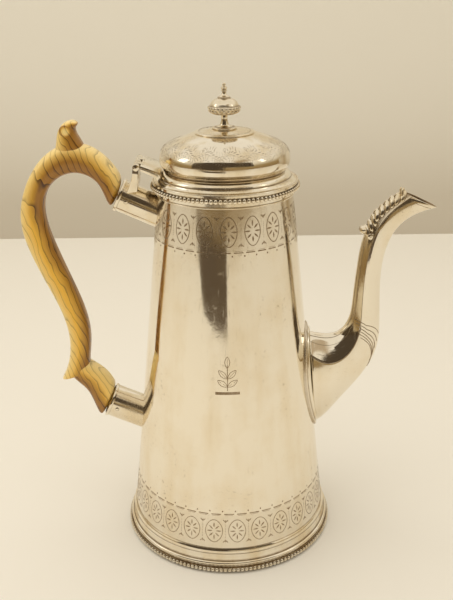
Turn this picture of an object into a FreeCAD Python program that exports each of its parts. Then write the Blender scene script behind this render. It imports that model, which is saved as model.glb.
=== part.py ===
# Silver coffee pot: a tapering sheet body on a moulded foot, a domed lid on a stand-away hinge,
# a swan-neck spout and a carved wooden scroll handle held in two sockets.
# Millimetres, +Z up, origin on the floor under the centre of the foot, +X towards the spout.
import FreeCAD
import Part
import Sketcher
import math
import os
from FreeCAD import Placement, Rotation, Vector

SIZES = {
    "body_low_z": 3.0,
    "body_top_z": 204.0,
    "body_low_radius": 56.4,
    "body_top_radius": 34.95,
    "body_wall": 0.7,
    "base_thick": 0.8,
    "solder_gap": 0.05,
    "strainer_hole_radius": 1.6,
    "strainer_pitch": 6.0,
    "foot_height": 13.4,
    "foot_ledge": 2.9,
    "foot_spread": 1.2,
    "bead_wire_depth": 2.4,
    "bead_wire_flat": 0.5,
    "foot_bead_z": 1.9,
    "rim_height": 5.8,
    "rim_spread": 1.75,
    "rim_bead_drop": 1.35,
    "lid_gap": 0.3,
    "lid_wall": 0.7,
    "flange_overhang": 3.05,
    "flange_width": 7.5,
    "flange_height": 6.1,
    "dome_bulge": 2.6,
    "dome_bulge_height": 7.0,
    "dome_shoulder_inset": 4.8,
    "dome_shoulder_height": 13.8,
    "dome_height": 18.8,
    "bezel_depth": 5.5,
    "bezel_gap": 0.5,
    "bezel_taper": 1.1,
    "plate_radius": 15.3,
    "plate_height": 2.0,
    "finial_base_radius": 6.2,
    "finial_bowl_radius": 7.9,
    "finial_stem_radius": 1.6,
    "finial_tip_radius": 0.95,
    "finial_height": 22.9,
    "stud_radius": 1.6,
    "stud_clearance": 0.15,
    "stud_spare": 0.8,
    "washer_radius": 4.5,
    "washer_thick": 0.8,
    "nut_width": 7.0,
    "nut_thick": 2.2,
    "spout_z": 92.0,
    "spout_wall": 0.8,
    "collar_half_height": 31.5,
    "collar_half_width": 19.8,
    "collar_thick": 2.2,
    "collar_step": 2.4,
    "leaf_proud": 1.6,
    "leaf_knob_radius": 2.2,
    "upper_socket_z": 188.6,
    "upper_socket_angle": 24.5,
    "upper_socket_length": 21.4,
    "upper_socket_radius": 8.4,
    "lower_socket_z": 68.8,
    "lower_socket_angle": 24.0,
    "lower_socket_length": 19.7,
    "lower_socket_radius": 9.2,
    "socket_wall": 0.8,
    "lip_length": 1.8,
    "lip_thick": 0.6,
    "tenon_length": 12.0,
    "tenon_clearance": 0.15,
    "handle_pin_radius": 1.1,
    "handle_pin_back": 5.0,
    "handle_pin_proud": 0.35,
    "handle_half_thick": 6.6,
    "thumb_radius": 5.2,
    "thumb_half_thick": 5.4,
    "hinge_out": 10.05,
    "hinge_rise": 10.0,
    "hinge_length": 26.0,
    "knuckle_radius": 1.8,
    "knuckle_gap": 0.2,
    "hinge_pin_radius": 0.8,
    "hinge_pin_clearance": 0.05,
    "leaf_thick": 2.6,
    "leaf_clearance": 0.5,
}

doc = FreeCAD.newDocument("coffee_pot")
sheet = doc.addObject("Spreadsheet::Sheet", "Sizes")
for row, (alias, number) in enumerate(SIZES.items(), start=1):
    sheet.set(f"A{row}", alias)
    sheet.set(f"B{row}", str(number))
    sheet.setAlias(f"B{row}", alias)
doc.recompute()


class Size:
    """A length in millimetres, or an angle or share, with the sheet formula that gives it."""

    def __init__(self, value, formula=None):
        self.value = float(value)
        self.formula = formula or f"({self.value:.9g})"

    def combined(self, other, sign, value):
        return Size(value, f"({self.formula} {sign} {as_size(other).formula})")

    def __add__(self, other):
        return self.combined(other, "+", self.value + as_size(other).value)

    def __radd__(self, other):
        return as_size(other) + self

    def __sub__(self, other):
        return self.combined(other, "-", self.value - as_size(other).value)

    def __rsub__(self, other):
        return as_size(other) - self

    def __mul__(self, other):
        return self.combined(other, "*", self.value * as_size(other).value)

    def __rmul__(self, other):
        return as_size(other) * self

    def __truediv__(self, other):
        return self.combined(other, "/", self.value / as_size(other).value)

    def __neg__(self):
        return self * -1


def as_size(number):
    return number if isinstance(number, Size) else Size(number)


def size(alias):
    """A driving dimension, read from its cell."""
    return Size(sheet.get(alias), f"Sizes.{alias}")


def cosine(angle):
    return Size(math.cos(math.radians(angle.value)), f"cos({angle.formula} * 1 deg)")


def sine(angle):
    return Size(math.sin(math.radians(angle.value)), f"sin({angle.formula} * 1 deg)")


def root(number):
    return Size(math.sqrt(number.value), f"sqrt({number.formula})")


def bind(thing, path, length):
    thing.setExpression(path, length.formula)


def new_body(label):
    body = doc.addObject("PartDesign::Body", label)
    body.Label = label
    return body


def new_sketch(body, name, role):
    """A sketch on one of the body's own origin planes."""
    found = [f for f in body.Origin.OriginFeatures if f.Role == role]
    sketch = body.newObject("Sketcher::SketchObject", name)
    sketch.AttachmentSupport = [(found[0], "")]
    sketch.MapMode = "FlatFace"
    return sketch


def add_side(sketch, start, end, rise):
    """Adds the side from start to end, an arc bulging to the left by rise where one is given.
    Returns its number, the positions of its two ends and the arc's centre."""
    a = Vector(start[0].value, start[1].value, 0)
    b = Vector(end[0].value, end[1].value, 0)
    if rise is None:
        return sketch.addGeometry(Part.LineSegment(a, b)), 1, 2, None
    rise = as_size(rise)
    across, up = end[0] - start[0], end[1] - start[1]
    chord = root(across * across + up * up)
    back = rise / (2 * chord) - chord / (8 * rise)
    centre = (start[0] + end[0]) / 2 - up * back, (start[1] + end[1]) / 2 + across * back
    middle = Vector(centre[0].value, centre[1].value, 0)
    first, last = (b, a) if rise.value > 0 else (a, b)
    from_angle = math.atan2(first.y - middle.y, first.x - middle.x)
    to_angle = math.atan2(last.y - middle.y, last.x - middle.x)
    if to_angle <= from_angle:
        to_angle += 2 * math.pi
    circle = Part.Circle(middle, Vector(0, 0, 1), (a - middle).Length)
    number = sketch.addGeometry(Part.ArcOfCircle(circle, from_angle, to_angle))
    return (number, 2, 1, centre) if rise.value > 0 else (number, 1, 2, centre)


def pin(sketch, number, position, x=None, y=None):
    """Holds a point of the sketch at the given distances from the sketch's origin."""
    for kind, axis, length in (("DistanceX", -2, x), ("DistanceY", -1, y)):
        if length is None:
            continue
        if length.value == 0:
            sketch.addConstraint(Sketcher.Constraint("PointOnObject", number, position, axis))
            continue
        held = sketch.addConstraint(Sketcher.Constraint(kind, -1, 1, number, position, length.value))
        bind(sketch, f"Constraints[{held}]", length)


def draw(sketch, *corners):
    """Draws a closed outline whose corners are bound to the sheet. A corner is (x, y), or
    (x, y, rise) where the side that ends there is an arc bulging to the left by rise."""
    points = [(as_size(corner[0]), as_size(corner[1])) for corner in corners]
    sides = []
    for index, corner in enumerate(corners):
        rise = corner[2] if len(corner) == 3 else None
        sides.append(add_side(sketch, points[index - 1], points[index], rise))
    for index, (number, _, end, centre) in enumerate(sides):
        following = sides[(index + 1) % len(sides)]
        sketch.addConstraint(Sketcher.Constraint("Coincident", number, end, following[0], following[1]))
        pin(sketch, number, end, *points[index])
        if centre:
            start = points[index - 1]
            flat = abs(points[index][0].value - start[0].value) > abs(points[index][1].value - start[1].value)
            pin(sketch, number, 3, None if flat else centre[0], centre[1] if flat else None)


def draw_circle(sketch, x, y, radius):
    x, y = as_size(x), as_size(y)
    circle = Part.Circle(Vector(x.value, y.value, 0), Vector(0, 0, 1), radius.value)
    number = sketch.addGeometry(circle)
    held = sketch.addConstraint(Sketcher.Constraint("Radius", number, radius.value))
    bind(sketch, f"Constraints[{held}]", radius)
    pin(sketch, number, 3, x, y)


def draw_oval(sketch, half_wide, half_tall):
    """An oval round the sketch's origin, with its two half axes bound to the sheet."""
    half_wide, half_tall = as_size(half_wide), as_size(half_tall)
    tall = half_tall.value >= half_wide.value
    wide_end, tall_end = Vector(half_wide.value, 0, 0), Vector(0, half_tall.value, 0)
    ends = (tall_end, -wide_end) if tall else (wide_end, tall_end)
    oval = sketch.addGeometry(Part.Ellipse(ends[0], ends[1], Vector(0, 0, 0)))
    sketch.exposeInternalGeometry(oval)
    major, minor = oval + 1, oval + 2
    sketch.addConstraint(Sketcher.Constraint("Coincident", oval, 3, -1, 1))
    sketch.addConstraint(Sketcher.Constraint("Vertical" if tall else "Horizontal", major))
    for line, half in ((major, half_tall if tall else half_wide), (minor, half_wide if tall else half_tall)):
        held = sketch.addConstraint(Sketcher.Constraint("Distance", line, 2 * half.value))
        bind(sketch, f"Constraints[{held}]", 2 * half)


def turned(label, *corners):
    """A piece turned about the pot's upright axis."""
    body = new_body(label)
    sketch = new_sketch(body, f"{label}_outline", "XZ_Plane")
    draw(sketch, *corners)
    turn = body.newObject("PartDesign::Revolution", f"{label}_turn")
    turn.Profile = sketch
    turn.ReferenceAxis = (sketch, ["V_Axis"])
    turn.Angle = 360
    return body


def padded(body, sketch, length, both_ways=False):
    pad = body.newObject("PartDesign::Pad", f"{sketch.Name}_pad")
    pad.Profile = sketch
    pad.SideType = "Symmetric" if both_ways else "One side"
    bind(pad, "Length", length)
    return pad


def cut(label, base, *tools):
    """The base with each tool taken away from it in turn."""
    for index, tool in enumerate(tools):
        last = doc.addObject("Part::Cut", f"{label}_cut{index}")
        last.Base = base
        last.Tool = tool
        base = last
    base.Label = label
    return base


def solid_cone(name, extra):
    """The outside of the tapering body as a solid, from the floor to the rim, grown by extra."""
    cone = doc.addObject("Part::Cone", name)
    bind(cone, "Radius1", body_radius(as_size(0)) + extra)
    bind(cone, "Radius2", body_radius(size("body_top_z")) + extra)
    bind(cone, "Height", size("body_top_z"))
    return cone


def flowing(name, stations, around=12):
    """A smooth solid through oval sections that turn and change size along a bend. Each station
    is its top, its bottom, both in the plane of the spout and handle, and its half width."""
    turn = 2 * math.pi / around
    reach = 6 / (4 + 2 * math.cos(turn))
    rings, middles = [], []
    for top, low, half_wide in stations:
        top, low = (Vector(point[0].value, 0, point[1].value) for point in (top, low))
        middle = (top + low) / 2
        upward, aside = (top - middle) * reach, Vector(0, half_wide.value * reach, 0)
        rings.append([middle + upward * math.cos(turn * k) - aside * math.sin(turn * k) for k in range(around)])
        middles.append(middle)
    places = [0.0]
    for before, after in zip(middles, middles[1:]):
        places.append(places[-1] + (after - before).Length)
    rows = []
    for line in zip(*rings):
        curve = Part.BSplineCurve()
        curve.interpolate(Points=list(line), Parameters=places)
        rows.append(curve.getPoles())
    skin = Part.BSplineSurface()
    skin.buildFromPolesMultsKnots(
        rows, [1] * (around + 1), curve.getMultiplicities(), list(range(around + 1)), curve.getKnots(),
        True, False, 3, curve.Degree,
    )
    side = skin.toShape()
    ends = [Part.Face(Part.Wire([edge])) for edge in side.Edges if not edge.isSeam(side)]
    solid = Part.Solid(Part.Shell([side] + ends))
    solid.fix(1e-6, 1e-6, 1e-6)
    feature = doc.addObject("Part::Feature", name)
    feature.Shape = solid if solid.Volume > 0 else solid.reversed()
    return feature


# Tapering sheet body, let-in base, stepped foot and its beaded wire


def body_radius(z):
    """Outer radius of the tapering body at a height."""
    low, top = size("body_low_z"), size("body_top_z")
    narrowing = size("body_low_radius") - size("body_top_radius")
    return size("body_low_radius") - narrowing * (z - low) / (top - low)


def make_body_shell():
    low, top, wall = size("body_low_z"), size("body_top_z"), size("body_wall")
    body = turned(
        "body_shell",
        (body_radius(low) - wall, low),
        (body_radius(low), low),
        (body_radius(top), top),
        (body_radius(top) - wall, top),
    )
    doc.recompute()
    whole = body.Shape.Volume
    holes = new_sketch(body, "strainer_holes", "YZ_Plane")
    pitch = size("strainer_pitch")
    for line in range(-3, 4):
        for place in range(3 - line % 2):
            side = pitch * (place - (2 - line % 2) / 2)
            draw_circle(holes, side, size("spout_z") + pitch * line, size("strainer_hole_radius"))
    pierce = body.newObject("PartDesign::Pocket", "strainer")
    pierce.Profile = holes
    pierce.Type = "ThroughAll"
    pierce.Reversed = True
    doc.recompute()
    if body.Shape.Volume >= whole:
        raise RuntimeError("the strainer holes do not reach the wall")
    return body


def make_base_disc():
    low, thick = size("body_low_z"), size("base_thick")
    edge = body_radius(low + thick) - size("body_wall") - size("solder_gap")
    return turned("base_disc", (0, low), (edge, low), (edge, low + thick), (0, low + thick))


def make_foot_moulding():
    low, height = size("body_low_z"), size("foot_height")
    edge = size("body_low_radius")
    ledge, seat = edge - size("foot_ledge"), edge + size("foot_spread")
    bead_top = size("foot_bead_z") + 1.5
    return turned(
        "foot_moulding",
        (ledge, 0),
        (seat, 0),
        (seat, bead_top),
        (seat + 0.3, bead_top + 0.9, 0.25),
        (seat + 0.1, bead_top + 3.0, -0.8),
        (seat - 0.4, bead_top + 3.0),
        (seat - 0.85, height - 3.0, 0.2),
        (seat - 1.15, height - 2.8),
        (body_radius(height) + 0.4, height, -0.4),
        (body_radius(height), height),
        (edge, low),
        (ledge, low),
    )


def make_bead_wire(label, seat, height):
    flat = size("bead_wire_flat")
    return turned(label, (seat, height - flat), (seat, height + flat, -size("bead_wire_depth")))


# Rim of the body: stepped band and beaded wire


def rim_seat():
    return size("body_top_radius") + size("rim_spread")


def make_rim_moulding():
    top = size("body_top_z")
    low = top - size("rim_height")
    edge, seat = body_radius(low), rim_seat()
    return turned(
        "rim_moulding",
        (edge, low),
        (edge + 0.5, low),
        (edge + 0.5, low + 0.9, -0.3),
        (edge + 0.3, low + 1.1),
        (seat - 0.3, low + 1.3),
        (seat - 0.3, low + 3.0),
        (seat, low + 3.2),
        (seat, top),
        (size("body_top_radius"), top),
    )


# Lid: moulded flange, bulging dome and the bezel that centres it in the mouth


def lid_seat_z():
    return size("body_top_z") + size("lid_gap")


def flange_edge():
    return size("body_top_radius") + size("flange_overhang")


def flange_hole():
    return flange_edge() - size("flange_width")


def dome_foot_z():
    return lid_seat_z() + size("flange_height")


def dome_top_z():
    return dome_foot_z() + size("dome_height")


def make_lid_flange():
    low, top = lid_seat_z(), dome_foot_z()
    edge, hole = flange_edge(), flange_hole()
    return turned(
        "lid_flange",
        (hole, low),
        (edge, low),
        (edge, low + 1.0),
        (edge - 0.6, low + 1.5, -0.2),
        (edge - 3.1, low + 3.0, 0.5),
        (edge - 3.6, low + 3.2),
        (hole + size("lid_wall") + 0.4, top - 0.2, -0.6),
        (hole + size("lid_wall") + 0.1, top),
        (hole, top),
    )


def make_lid_dome():
    low, top, wall = dome_foot_z(), dome_top_z(), size("lid_wall")
    inner = flange_hole()
    neck = inner + wall
    bulge = neck + size("dome_bulge")
    bulge_z = low + size("dome_bulge_height")
    shoulder = bulge - size("dome_shoulder_inset")
    shoulder_z = low + size("dome_shoulder_height")
    land = size("plate_radius") + 0.6
    hole = size("stud_radius") + size("stud_clearance")
    return turned(
        "lid_dome",
        (inner, low),
        (neck, low),
        (neck + 0.7, low + 0.6, 0.1),
        (bulge - 0.4, low + 3.0, 0.2),
        (bulge, bulge_z, -0.3),
        (shoulder, shoulder_z, -1.2),
        (land, top, -0.1),
        (hole, top),
        (hole, top - wall),
        (land - 0.25, top - wall),
        (shoulder - 0.27, shoulder_z - wall, 0.1),
        (bulge - wall, bulge_z, 1.1),
        (bulge - wall - 0.4, low + 3.3, 0.25),
        (inner, low + 1.0, -0.15),
    )


def make_lid_bezel():
    top = lid_seat_z()
    low = top - size("bezel_depth")
    wall, taper = size("lid_wall"), size("bezel_taper")
    outer = size("body_top_radius") - size("body_wall") - size("bezel_gap")
    return turned(
        "lid_bezel",
        (outer - taper - wall, low),
        (outer - taper, low),
        (outer, top),
        (outer - wall, top),
    )


# Finial: stepped plate, cast baluster with its screwed shank, washer and nut


def plate_top_z():
    return dome_top_z() + size("plate_height")


def washer_low_z():
    return dome_top_z() - size("lid_wall") - size("washer_thick")


def nut_low_z():
    return washer_low_z() - size("nut_thick")


def make_finial_plate():
    low, top, edge = dome_top_z(), plate_top_z(), size("plate_radius")
    hole = size("stud_radius") + size("stud_clearance")
    return turned(
        "finial_plate",
        (hole, low),
        (edge, low),
        (edge, low + 0.7, -0.25),
        (edge - 0.7, low + 0.9),
        (size("finial_base_radius") + 0.4, top, 0.3),
        (hole, top),
    )


def make_finial():
    """Shank, round base, waisted stem, two-part bowl and small knops up to the tip."""
    low, shank = plate_top_z(), size("stud_radius")
    base, bowl, stem = size("finial_base_radius"), size("finial_bowl_radius"), size("finial_stem_radius")
    tip = size("finial_tip_radius")

    def up(share):
        return low + size("finial_height") * share

    return turned(
        "finial",
        (0, nut_low_z() - size("stud_spare")),
        (shank, nut_low_z() - size("stud_spare")),
        (shank, low),
        (base, low),
        (base, up(0.035), -0.25),
        (base - 1.8, up(0.057)),
        (stem + 0.6, up(0.115), 0.6),
        (stem, up(0.225), 0.1),
        (stem + 0.7, up(0.325), 0.15),
        (bowl - 0.3, up(0.415), -0.9),
        (bowl, up(0.455), -0.15),
        (bowl - 0.5, up(0.5), -0.15),
        (stem * 2.1, up(0.665), -0.9),
        (stem * 2.1, up(0.685)),
        (stem * 1.7, up(0.71)),
        (stem * 0.62, up(0.795), 0.5),
        (stem * 0.62, up(0.815)),
        (stem * 0.95, up(0.82)),
        (stem * 0.95, up(0.84)),
        (stem * 0.45, up(0.845)),
        (stem * 0.45, up(0.92), -stem * 0.52),
        (tip * 0.6, up(1) - tip * 1.8),
        (0, up(1), -tip * (1 - math.sqrt(0.1))),
    )


def make_finial_washer():
    low, hole = washer_low_z(), size("stud_radius") + size("stud_clearance")
    top = low + size("washer_thick")
    return turned("finial_washer", (hole, low), (size("washer_radius"), low),
                  (size("washer_radius"), top), (hole, top))


def make_finial_nut():
    body = new_body("finial_nut")
    sketch = new_sketch(body, "nut_outline", "XY_Plane")
    half = size("nut_width") / 2
    draw(sketch, (half, half), (-half, half), (-half, -half), (half, -half))
    draw_circle(sketch, 0, 0, size("stud_radius") + size("solder_gap"))
    sketch.AttachmentOffset = Placement(Vector(0, 0, nut_low_z().value), Rotation())
    bind(sketch, "AttachmentOffset.Base.z", nut_low_z())
    padded(body, sketch, size("nut_thick"))
    return body


# Spout: swan neck with an oblique duck-bill mouth, its root collar and its cast leaf


def spout_point(out, up):
    """A point of the spout, measured from the body's surface at the height of the spout."""
    return body_radius(size("spout_z")) + out, size("spout_z") + up


# each station of the neck: top edge out and up, bottom edge out and up, half width
SPOUT_STATIONS = (
    (-10.9, 27.0, -4.9, -32.5, 14.0),
    (0.6, 26.5, 6.1, -31.5, 14.0),
    (9.6, 24.6, 17.1, -15.5, 12.2),
    (16.6, 26.3, 29.6, -1.2, 10.0),
    (20.9, 33.5, 37.4, 13.2, 8.2),
    (22.0, 40.6, 38.6, 25.5, 7.5),
    (22.4, 48.0, 37.8, 39.0, 7.0),
    (23.7, 65.0, 36.6, 61.5, 6.3),
    (26.3, 83.3, 39.9, 78.5, 6.0),
    (32.6, 94.2, 45.9, 88.3, 5.7),
    (40.6, 101.6, 54.6, 93.8, 5.2),
    (47.1, 105.0, 65.1, 96.6, 4.6),
)


def spout_station(out_top, up_top, out_low, up_low, half_wide, inset, forward=0.0):
    """Top, bottom and half width of a section, drawn in by the wall and moved on along the mouth."""
    lengthwise = Vector(out_low - out_top, 0, up_low - up_top).normalize()
    onward = Vector(-lengthwise.z, 0, lengthwise.x) * forward
    top = spout_point(out_top + onward.x + inset * lengthwise.x, up_top + onward.z + inset * lengthwise.z)
    low = spout_point(out_low + onward.x - inset * lengthwise.x, up_low + onward.z - inset * lengthwise.z)
    return top, low, half_wide - inset


def make_spout_form():
    return flowing("spout_form", [spout_station(*s, inset=as_size(0)) for s in SPOUT_STATIONS])


def make_spout_bore():
    wall = size("spout_wall")
    stations = [spout_station(*s, inset=wall) for s in SPOUT_STATIONS]
    stations.append(spout_station(*SPOUT_STATIONS[-1], inset=wall, forward=2.0))
    return flowing("spout_bore", stations)


def make_spout_collar(pot_outside, spout_form):
    """Oval frame of two steps, bent round the body and fitted between the wall and the spout."""
    steps = []
    for name, narrower, thick in (("outer", as_size(0), size("collar_thick") / 2),
                                  ("inner", size("collar_step"), size("collar_thick"))):
        blank = new_body(f"collar_{name}_blank")
        sketch = new_sketch(blank, f"collar_{name}_outline", "YZ_Plane")
        sketch.AttachmentOffset = Placement(Vector(0, size("spout_z").value, 0), Rotation())
        bind(sketch, "AttachmentOffset.Base.y", size("spout_z"))
        draw_oval(sketch, size("collar_half_width") - narrower, size("collar_half_height") - narrower)
        padded(blank, sketch, size("body_low_radius") + 2 * size("collar_thick"))
        step = doc.addObject("Part::Common", f"collar_{name}")
        step.Base = blank
        step.Tool = solid_cone(f"collar_{name}_outside", thick)
        steps.append(step)
    whole = doc.addObject("Part::MultiFuse", "collar_whole")
    whole.Shapes = steps
    return cut("spout_collar", whole, pot_outside, spout_form)


def make_spout_leaf(spout_form):
    """Leaf wrapped over the top of the neck, from a round knob up to a tip that stands free."""
    proud = size("leaf_proud")
    stations = [spout_station(*s, inset=-proud) for s in SPOUT_STATIONS[7:]]
    stations.append(spout_station(*SPOUT_STATIONS[-1], inset=-proud, forward=3.0))
    wrap = flowing("leaf_wrap", stations)
    side = new_body("leaf_side")
    sketch = new_sketch(side, "leaf_outline", "XZ_Plane")
    draw(
        sketch,
        spout_point(24.4, 81.5),
        spout_point(30.0, 81.5),
        spout_point(40.5, 96.5) + (1.2,),
        spout_point(47.6, 102.6) + (-0.6,),
        spout_point(47.4, 108.0) + (-0.8,),
        spout_point(43.0, 105.0) + (0.6,),
        spout_point(26.0, 98.0),
        spout_point(21.0, 86.0),
    )
    padded(side, sketch, 2 * size("collar_half_width"), both_ways=True)
    blade = doc.addObject("Part::Common", "leaf_blade")
    blade.Base = wrap
    blade.Tool = side
    knob = doc.addObject("Part::Sphere", "leaf_knob")
    x, z = spout_point(26.0, 84.0)
    knob.Placement = Placement(Vector(x.value, 0, z.value), Rotation())
    bind(knob, "Radius", size("leaf_knob_radius"))
    bind(knob, "Placement.Base.x", x)
    bind(knob, "Placement.Base.z", z)
    whole = doc.addObject("Part::MultiFuse", "leaf_whole")
    whole.Shapes = [blade, knob]
    return cut("spout_leaf", whole, spout_form)


# Handle sockets: two silver tubes with lips and rivets, and the wooden scroll between them


def socket_point(end, along):
    """A point on a socket's axis, measured outwards from the mouth of the socket."""
    angle = size(f"{end}_socket_angle")
    reach = size(f"{end}_socket_length") + along
    height = size(f"{end}_socket_z")
    return -body_radius(height) - reach * cosine(angle), height + reach * sine(angle)


def along_socket(thing, end, along):
    """Lays a thing that was drawn along +Z on a socket's axis, starting from the given point."""
    x, z = socket_point(end, along)
    lean = 90 - size(f"{end}_socket_angle")
    thing.Placement = Placement(Vector(x.value, 0, z.value), Rotation(Vector(0, -1, 0), lean.value))
    bind(thing, "Placement.Base.x", x)
    bind(thing, "Placement.Base.z", z)
    bind(thing, "Placement.Rotation.Angle", lean)
    return thing


def socket_ring(end, label, outer, inner, along, length):
    """A round tube on a socket's axis."""
    body = new_body(label)
    sketch = new_sketch(body, f"{label}_outline", "XY_Plane")
    draw_circle(sketch, 0, 0, outer)
    if inner:
        draw_circle(sketch, 0, 0, inner)
    padded(body, sketch, length)
    return along_socket(body, end, along)


def cross_pin(end, name, radius, half_length):
    """A cylinder across a socket, where the rivet goes through."""
    x, z = socket_point(end, -size("handle_pin_back"))
    pin = doc.addObject("Part::Cylinder", name)
    pin.Placement = Placement(Vector(x.value, half_length.value, z.value), Rotation(Vector(1, 0, 0), 90))
    bind(pin, "Radius", radius)
    bind(pin, "Height", 2 * half_length)
    bind(pin, "Placement.Base.x", x)
    bind(pin, "Placement.Base.y", half_length)
    bind(pin, "Placement.Base.z", z)
    return pin


def make_socket(end, pot_outside):
    """The socket's tube, its lip, its rivet, its plain outside and the hole for the rivet."""
    radius = size(f"{end}_socket_radius")
    length = size(f"{end}_socket_length") + radius
    tube = socket_ring(end, f"{end}_tube", radius, radius - size("socket_wall"), -length, length)
    outside = socket_ring(end, f"{end}_tube_outside", radius, None, -length, length)
    lip = socket_ring(end, f"{end}_socket_lip", radius + size("lip_thick"), radius,
                      -size("lip_length"), size("lip_length"))
    hole = cross_pin(end, f"{end}_pin_hole", size("handle_pin_radius") + size("solder_gap"), 2 * radius)
    pin = cross_pin(end, f"{end}_handle_pin", size("handle_pin_radius"), radius + size("handle_pin_proud"))
    pin.Label = f"{end}_handle_pin"
    socket = cut(f"{end}_socket", tube, pot_outside, hole)
    return socket, lip, pin, outside, hole


# each station of the scroll and of its tail: outer edge and inner edge, each as a share of the
# way from the upper to the lower socket and a distance out from the line between them
SCROLL_STATIONS = (
    (-0.119, 2.3, 0.006, 7.1),
    (-0.166, 7.7, -0.048, 10.4),
    (-0.204, 15.8, -0.078, 16.3),
    (-0.214, 25.0, -0.085, 23.0),
    (-0.182, 33.7, -0.068, 29.2),
    (-0.125, 41.7, -0.034, 34.3),
    (-0.078, 45.3, -0.010, 36.6),
    (-0.025, 48.2, 0.021, 38.1),
    (0.034, 50.4, 0.055, 38.9),
    (0.094, 51.6, 0.092, 38.8),
    (0.213, 50.4, 0.185, 36.3),
    (0.376, 40.9, 0.346, 27.2),
    (0.492, 32.7, 0.483, 19.1),
    (0.587, 27.1, 0.578, 14.4),
    (0.684, 23.6, 0.677, 11.8),
    (0.786, 23.5, 0.780, 12.5),
    (0.845, 25.0, 0.815, 12.3),
    (0.894, 27.3, 0.842, 12.5),
)
TAIL_STATIONS = (
    (0.890, 21.5, 0.800, 14.5),
    (0.916, 18.2, 0.824, 8.5),
    (0.952, 12.4, 0.858, 2.3),
    (1.034, 8.2, 0.901, -1.4),
)
THUMB_MIDDLE = (-0.261, 26.6)
THUMB_FEET = ((-0.175, 31.0), (-0.175, 20.0))


def handle_point(share, out):
    upper, lower = socket_point("upper", as_size(0)), socket_point("lower", as_size(0))
    across, down = lower[0] - upper[0], lower[1] - upper[1]
    length = root(across * across + down * down)
    return (
        upper[0] + across * share + out * down / length,
        upper[1] + down * share - out * across / length,
    )


def shoulder(end, above, below):
    """The face of the wood against the mouth of a socket."""
    x, z = socket_point(end, as_size(0))
    angle = size(f"{end}_socket_angle")
    top = x + above * sine(angle), z + above * cosine(angle)
    low = x - below * sine(angle), z - below * cosine(angle)
    return top, low, size(f"{end}_socket_radius") - 0.2


def make_handle(rivet_holes):
    """Carved scroll, its tail, the thumb volute on its crown and a round tenon at each end."""
    half = size("handle_half_thick")
    upper, lower = size("upper_socket_radius"), size("lower_socket_radius")
    scroll = [(handle_point(*s[:2]), handle_point(*s[2:]), half) for s in SCROLL_STATIONS]
    tail = [(handle_point(*s[2:]), handle_point(*s[:2]), half) for s in TAIL_STATIONS]
    lengths = [
        flowing("handle_scroll", [shoulder("upper", upper, upper * 1.17)] + scroll),
        flowing("handle_tail", tail + [shoulder("lower", lower, lower * 1.41)]),
    ]
    thumb = new_body("handle_thumb")
    sketch = new_sketch(thumb, "thumb_outline", "XZ_Plane")
    x, z = handle_point(*THUMB_MIDDLE)
    radius = size("thumb_radius")
    draw(sketch, (x + radius, z), (x - radius, z, -radius),
         handle_point(*THUMB_FEET[0]), handle_point(*THUMB_FEET[1]))
    padded(thumb, sketch, 2 * size("thumb_half_thick"), both_ways=True)
    tenons = []
    for end in ("upper", "lower"):
        bore = size(f"{end}_socket_radius") - size("socket_wall")
        length = size("tenon_length")
        tenons.append(socket_ring(end, f"{end}_tenon", bore - size("tenon_clearance"), None, -length, length))
    whole = doc.addObject("Part::MultiFuse", "handle_whole")
    whole.Shapes = lengths + [thumb] + tenons
    return cut("handle", whole, *rivet_holes)


# Stand-away hinge: five knuckles on one pin, three on the pot's leaf and two on the lid's


def hinge_point(out, up):
    """A point measured from the hinge's axis, out towards the lid and up."""
    return (
        out - size("body_top_radius") - size("hinge_out"),
        size("body_top_z") + size("hinge_rise") + up,
    )


def knuckle_span():
    return (size("hinge_length") - 4 * size("knuckle_gap")) / 5


def add_knuckles(body, places, toe):
    """Adds the rings at the given places of the five, each with a strap to the leaf at toe."""
    radius, span = size("knuckle_radius"), knuckle_span()
    away = root(as_size(toe[0]) * toe[0] + as_size(toe[1]) * toe[1])
    side_x, side_z = -toe[1] * radius / away, toe[0] * radius / away
    for place in places:
        start = (span + size("knuckle_gap")) * place - size("hinge_length") / 2
        sketch = new_sketch(body, f"{body.Name}_knuckle{place}", "XZ_Plane")
        sketch.AttachmentOffset = Placement(Vector(0, 0, start.value), Rotation())
        bind(sketch, "AttachmentOffset.Base.z", start)
        draw(
            sketch,
            hinge_point(side_x, side_z) + (radius,),
            hinge_point(toe[0] + side_x, toe[1] + side_z),
            hinge_point(toe[0] - side_x, toe[1] - side_z),
            hinge_point(-side_x, -side_z),
        )
        axis = hinge_point(as_size(0), as_size(0))
        draw_circle(sketch, axis[0], axis[1], size("hinge_pin_radius") + size("hinge_pin_clearance"))
        padded(body, sketch, span)


def make_hinge_lid_leaf(lid_flange):
    """Plate that slopes from the barrel down to the lid's flange and is soldered to it."""
    body = new_body("lid_leaf_blank")
    near = size("knuckle_radius") + size("leaf_clearance")
    toe = size("hinge_out") + size("body_top_radius") - flange_hole() - 2.2
    thick = size("leaf_thick")
    sketch = new_sketch(body, "lid_leaf_side", "XZ_Plane")
    draw(
        sketch,
        hinge_point(near, thick * 0.45),
        hinge_point(near, -thick * 0.6),
        hinge_point(toe - 2.6, -2.8 - thick * 0.8),
        hinge_point(toe - 1.0, -8.0),
        hinge_point(toe, -8.0),
        hinge_point(toe, -2.6),
    )
    padded(body, sketch, size("hinge_length"), both_ways=True)
    add_knuckles(body, (1, 3), (near + 0.8, -0.6))
    return cut("hinge_lid_leaf", body, lid_flange)


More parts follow.
